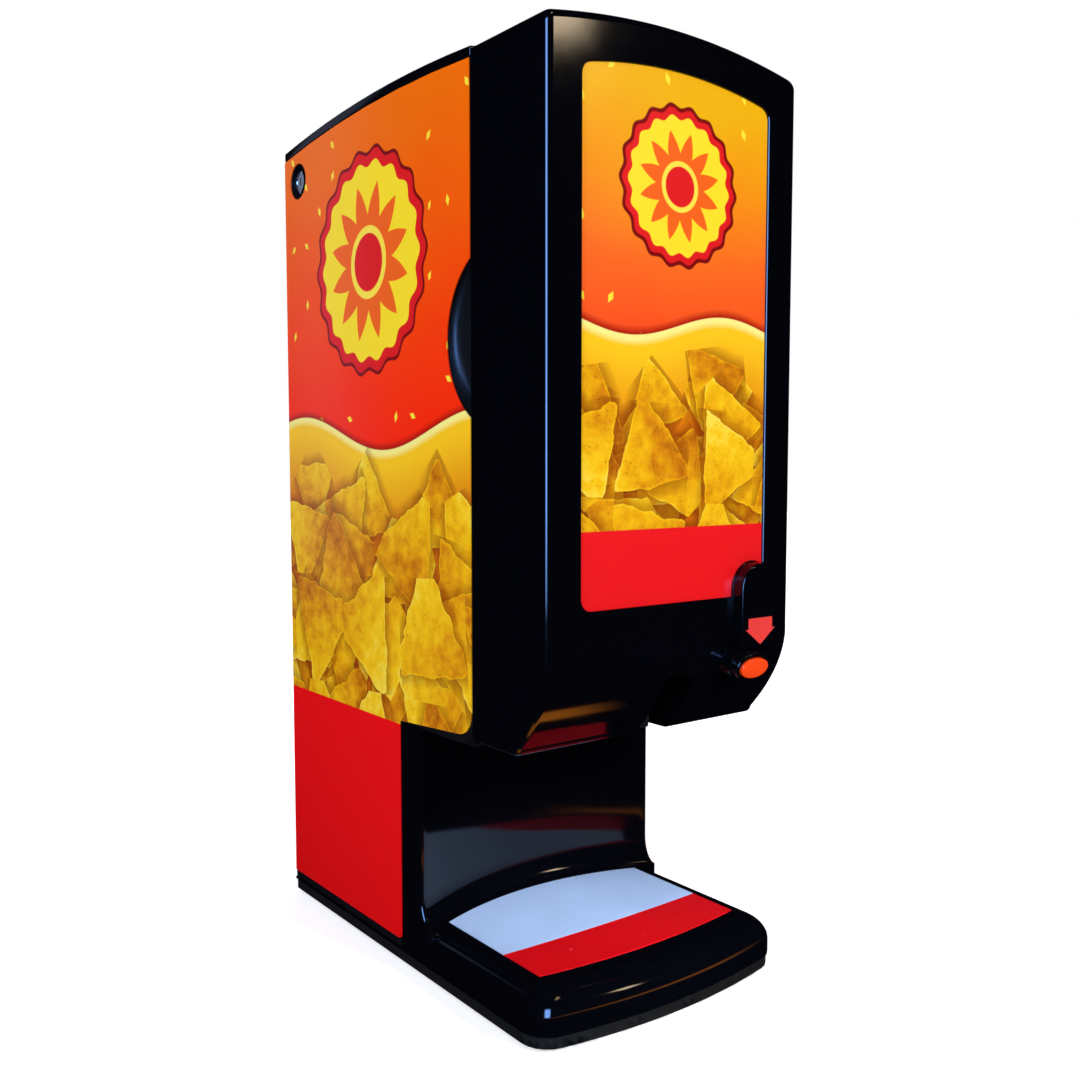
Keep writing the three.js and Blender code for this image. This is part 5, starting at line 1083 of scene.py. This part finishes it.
# %% Base cover with the seat of the tray plate
tray_front = 27.8
tray_seam = 78.7
tray_rear = column_front + column_hollow - column_flare - 0.6
base_cover = dome("base_cover_skin", 0.0, base_bottom)
carve(base_cover, "INTERSECT", box("ahead", -300, 300, -100, lower_front, -60, 60))
carve(base_cover, "UNION", plan_prism("pedestal", column_path(0, column_flare), base_bottom, base_top),
      box("back_wall", -half_width, half_width, lower_front - 2.5, lower_front, base_bottom, base_top))
hollow = dome("hollow", 2.5, base_bottom - 6)
carve(hollow, "INTERSECT", box("ahead", -300, 300, -100, lower_front - 2.5, -60, 60))
carve(base_cover, "DIFFERENCE", hollow,
      box("rear_hollow", -121, 121, 159, lower_front - 2.5, -20, base_top - 2.5))
carve(base_cover, "UNION", box("floor_plate", -half_width, half_width, lower_front - 2.5, case_depth,
                               base_bottom, base_bottom + 2))
seat_rings = [[at(x, y, z) for x, y in tray_outline(tray_front, tray_rear, drawn, (8.5, -20))]
              for z, drawn in [(20, -0.3), (21.2, -0.3), (22.7, -1.8)]]
carve(base_cover, "DIFFERENCE", loft("plate_seat", seat_rings))
finish_piece(base_cover, gloss_black, "cabinet", "gloss_black", "base_cover")

# %% Tray plate and its red band
for name, node, slot, material, front, rear, bows in [
        ("tray_plate_skin", "tray_plate", "tray_blue", tray_blue, tray_seam + 0.3, tray_rear, (2.5, -20)),
        ("tray_band_skin", "tray_front_band", "tray_red", band_red, tray_front, tray_seam, (8.5, 2.5))]:
    rings = [[at(x, y, z) for x, y in tray_outline(front, rear, drawn, bows)]
             for z, drawn in [(20.3, 0.0), (21.45, 0.0), (21.7, 0.12), (21.8, 0.4)]]
    finish_piece(loft(name, rings), material, "cabinet", slot, node)

# %% [markdown]
# The top cover arches from side to side, and its arch flattens towards the rear. Its rim rests on
# the side panels, and a skirt reaches down inside them. The front and the side edges are rounded
# by 1.2 mm.

# %% Top cover
edge_front = 686.5
edge_rear = 674.5
rear_plane = 391.0
rise_front, rise_rear = 12.2, 7
cover_inside = 120.6


def case_edge(depth):
    share = (depth - door_depth) / (case_depth - door_depth)
    return edge_front + (edge_rear - edge_front) * share + 8 * 4 * share * (1 - share)


def case_rise(depth):
    share = max(depth - door_depth, 0) / (case_depth - door_depth)
    return rise_front + (rise_rear - rise_front) * share ** 1.5


def cover_ring(depth, drawn):
    skirt = 118.1
    rise = case_rise(depth)
    bow = bow_radius(half_width, rise)
    centre = case_edge(depth) + rise - bow
    rim = case_edge(depth) - 7
    outer_half = half_width - drawn
    radius = bow - drawn
    sweep = math.asin((outer_half - 1.2) / radius)
    outer = arc((0, centre), radius, 0.5 * math.pi - sweep, 0.5 * math.pi + sweep, 48)
    edge_z = outer[-1][1]
    left = [(-outer_half + 0.35, edge_z - 0.45), (-outer_half, edge_z - 1.3), (-outer_half, rim),
            (-cover_inside, rim), (-cover_inside, rim - 6), (-skirt, rim - 6)]
    right = [(-x, z) for x, z in left][::-1]
    sweep = math.asin(skirt / (bow - 2.5))
    inner = arc((0, centre), bow - 2.5, 0.5 * math.pi - sweep, 0.5 * math.pi + sweep, 48)[::-1]
    return [at(x, depth, z) for x, z in outer + left + inner + right]


cover_rear = rear_plane + 0.3 + 3
stations = [(87.3, 1.2), (87.6, 0.5), (88.3, 0.0)]
stations += [(t, 0.0) for t in np.linspace(88.5, cover_rear - 1.2, 12)[1:]]
stations += [(cover_rear - 0.4, 0.4), (cover_rear, 1.2)]
top_cover = loft("top_cover_skin", [cover_ring(t, drawn) for t, drawn in stations])
rise = case_rise(cover_rear)
bow = bow_radius(half_width, rise)
sweep = math.asin(cover_inside / (bow - 1.25))
apron_outline = arc((0, case_edge(cover_rear) + rise - bow), bow - 1.25, 0.5 * math.pi - sweep,
                    0.5 * math.pi + sweep, 48)
apron_foot = case_edge(cover_rear) - 12
apron_outline += [(-cover_inside, apron_foot), (cover_inside, apron_foot)]
carve(top_cover, "UNION", front_prism("apron", apron_outline, rear_plane + 0.3, cover_rear))
finish_piece(top_cover, gloss_black, "cabinet", "gloss_black", "top_cover")

# %% [markdown]
# ## Side lock
# A shallow black cup holds a chrome lock. Its parts are turned, so each is one outline spun round
# the lock's axis: the cup's rolled rim, the domed ring of the barrel, and the plug with its slot.

# %% Lock
lock_depth, lock_height = 367.0, 645.0


def turned(name, outline, steps=72):
    """Spins (x, radius) points round the lock's axis. Both ends close on the axis or a ring."""
    rings = [[at(x, lock_depth + radius * math.cos(a), lock_height + radius * math.sin(a))
              for a in np.linspace(0, 2 * math.pi, steps + 1)[:-1]] for x, radius in outline]
    return loft(name, rings)


rim = [(-121.9 + 1.3 * -math.cos(a), 14.2 + 1.3 * math.sin(a)) for a in np.linspace(0, math.pi / 2, 7)]
cup = turned("lock_cup_skin", [(-119.3, 14.3), (-122.7, 14.2), *rim, (-120.7, 15.5),
                               (-120.6, 17.0), (-119.4, 17.0), (-119.4, 15.5), (-118.0, 15.5)])
carve(cup, "DIFFERENCE", turned("cup_mouth", [(-126, 13.4), (-121.8, 13.3), (-119.2, 13.0)]),
      turned("cup_bore", [(-121, 8.8), (-116, 8.8)]))
finish_piece(cup, satin_black, "cabinet", "satin_black", "lock_cup", sharp=40)

dome_points = [(-119.5, 10.6), (-120.4, 11.0)]
dome_points += [(-120.4 - 1.0 * math.sin(a), 7.2 + 3.8 * math.cos(a))
                for a in np.linspace(0, math.pi / 2, 9)[1:]]
barrel = turned("lock_barrel_skin", dome_points)
carve(barrel, "UNION", turned("thread", [(-120.0, 8.5), (-103.5, 8.5)]))
carve(barrel, "DIFFERENCE", turned("plug_bore", [(-125, 6.8), (-100, 6.8)]))
finish_piece(barrel, chrome, "cabinet", "chrome", "lock_barrel", sharp=40)

# %% [markdown]
# ## The other solids
# The remaining pieces already have their real shape in the CAD frame. A copy of each is merged,
# its edges are marked by angle, and its round faces are shaded smooth. The films and the spring
# stay as they are and only get a material.

# %% Materials for the other solids
finishes = {
    "gloss_black": gloss_black, "satin_black": satin_black, "painted_black": painted_black,
    "pan_grey": pan_grey, "rubber": black_rubber, "tray_blue": tray_blue, "tray_red": band_red,
    "side_print": side_print, "front_print": front_print, "button_orange": button_orange,
    "stainless": stainless, "zinc_steel": zinc_steel, "chrome": chrome, "aluminium": aluminium,
    "brass": bronze, "foam": foam, "white_plastic": white_acetal, "clear_plastic": clear_plastic,
    "board_green": board_green,
}
slot_of = {part["node"]: part["material_slot"] for part in frame["record"]["subparts"]}
left_as_they_are = ("left_graphic", "right_graphic", "front_graphic", "button_spring")
for node in left_as_they_are:
    mesh = frame["nodes"][node].data
    mesh.materials.clear()
    mesh.materials.append(finishes[slot_of[node]])
    print(node, "keeps its mesh")

# %% Copies of the other solids
skinned = {"door_shell", "push_plate", "button_barrel", "push_button", "base_cover", "tray_plate",
           "tray_front_band", "column_front", "top_cover", "lock_cup", "lock_barrel"}
for node, carried in frame["nodes"].items():
    if node in skinned or node in left_as_they_are:
        continue
    piece = stand(node + "_piece", carried.data.copy())
    tidy_mesh(piece.data, 2e-6)
    finish_piece(piece, finishes[slot_of[node]], body_of[node], slot_of[node], node)

# %% [markdown]
# ## Screws
# The rear panel, the pan, the pump's cover and the door's inner panel are held by pan-head screws.
# One head is made by geometry nodes: a low cone with a cross cut into it. It stands on each vertex
# of a bare mesh, faces the way that the vertex's own attribute says, and is turned by a chance that
# a seed fixes. Nodes suit this, because the places can change without any modelling.

# %% Geometry nodes for one screw head
screws = bpy.data.node_groups.new("pan-head screws", "GeometryNodeTree")
screws.interface.new_socket("Places", in_out="INPUT", socket_type="NodeSocketGeometry")
for name, kind in [("Radius", "NodeSocketFloat"), ("Height", "NodeSocketFloat"),
                   ("Seed", "NodeSocketInt"), ("Finish", "NodeSocketMaterial")]:
    screws.interface.new_socket(name, in_out="INPUT", socket_type=kind)
screws.interface.new_socket("Heads", in_out="OUTPUT", socket_type="NodeSocketGeometry")
given = add(screws, "NodeGroupInput")
places, head_radius, head_height, seed, finish = [given.outputs[i] for i in range(5)]
head_top = add(screws, MATH, head_radius, 0.76, operation="MULTIPLY")
head = add(screws, "GeometryNodeMeshCone",
           links={"Vertices": 28, "Radius Top": head_top, "Radius Bottom": head_radius,
                  "Depth": head_height})
arm_length = add(screws, MATH, head_radius, 1.15, operation="MULTIPLY")
arm_width = add(screws, MATH, head_radius, 0.26, operation="MULTIPLY")
lifted = add(screws, "ShaderNodeCombineXYZ", 0.0, 0.0, head_height)
cross = add(screws, "GeometryNodeMeshBoolean", operation="DIFFERENCE")
screws.links.new(head.outputs[0], cross.inputs[0])
for x, y in [(arm_length, arm_width), (arm_width, arm_length)]:
    size = add(screws, "ShaderNodeCombineXYZ", x, y, head_height)
    arm = add(screws, "GeometryNodeMeshCube", size)
    arm = add(screws, "GeometryNodeTransform", arm, links={"Translation": lifted})
    screws.links.new(arm.outputs[0], cross.inputs[1])
print("screw head:", len(screws.nodes), "nodes")

# %% Geometry nodes that set the heads out
facing = add(screws, "GeometryNodeInputNamedAttribute", "facing", data_type="FLOAT_VECTOR")
aligned = add(screws, "FunctionNodeAlignRotationToVector", axis="Z", links={"Vector": facing})
chance = add(screws, "FunctionNodeRandomValue", data_type="FLOAT")
screws.links.new(seed, chance.inputs["Seed"])
roll = add(screws, MATH, chance.outputs[1], 2 * math.pi, operation="MULTIPLY")
roll = add(screws, "FunctionNodeAxisAngleToRotation", (0, 0, 1), roll)
turned_head = add(screws, "FunctionNodeRotateRotation", aligned, roll, rotation_space="LOCAL")
spread_heads = add(screws, "GeometryNodeInstanceOnPoints", places,
                   links={"Instance": cross, "Rotation": turned_head})
real_heads = add(screws, "GeometryNodeRealizeInstances", spread_heads)
painted = add(screws, "GeometryNodeSetMaterial", real_heads, links={"Material": finish})
add(screws, "NodeGroupOutput", painted)
print("screws:", len(screws.nodes), "nodes")

# %% Screws of the case and of the door
def set_screws(name, body, spots, radius, height, seed):
    """Spots are (x, depth, z, facing), and all the heads of one body make one mesh."""
    mesh = bpy.data.meshes.new(name)
    mesh.from_pydata([at(x, depth, z) for x, depth, z, _ in spots], [], [])
    ways = mesh.attributes.new("facing", "FLOAT_VECTOR", "POINT")
    for i, (_, _, _, way) in enumerate(spots):
        ways.data[i].vector = way
    heads = stand(name, mesh)
    setting = heads.modifiers.new("screws", "NODES")
    values = {"Radius": radius * MM, "Height": height * MM, "Seed": seed, "Finish": zinc_steel}
    setting.node_group = screws
    for socket in screws.interface.items_tree:
        if socket.name in values:
            setting[socket.identifier] = values[socket.name]
    apply_modifiers(heads)
    finish_piece(heads, zinc_steel, body, "zinc_steel")


rearward, downward, forward = (0, 1, 0), (0, 0, -1), (0, -1, 0)
case_spots = [(x, rear_plane, z, rearward) for x in (-112, 112) for z in (12, 150, 300, 450, 590)]
case_spots += [(x, rear_plane, 652, rearward) for x in (-60, 60)]
case_spots += [(x, depth, -18, downward) for x in (-70, 70) for depth in (70, 200, 330)]
case_spots += [(x, 100.7, z, forward) for x, z in ((-3, 221), (65, 221), (-3, 283))]
set_screws("case_screws", "cabinet", case_spots, 3.6, 1.8, 4)
door_spots = [(x, 82, z, rearward) for x in (-90, 90) for z in (322, 480, 628)]
set_screws("door_screws", "door", door_spots, 3.2, 1.5, 9)
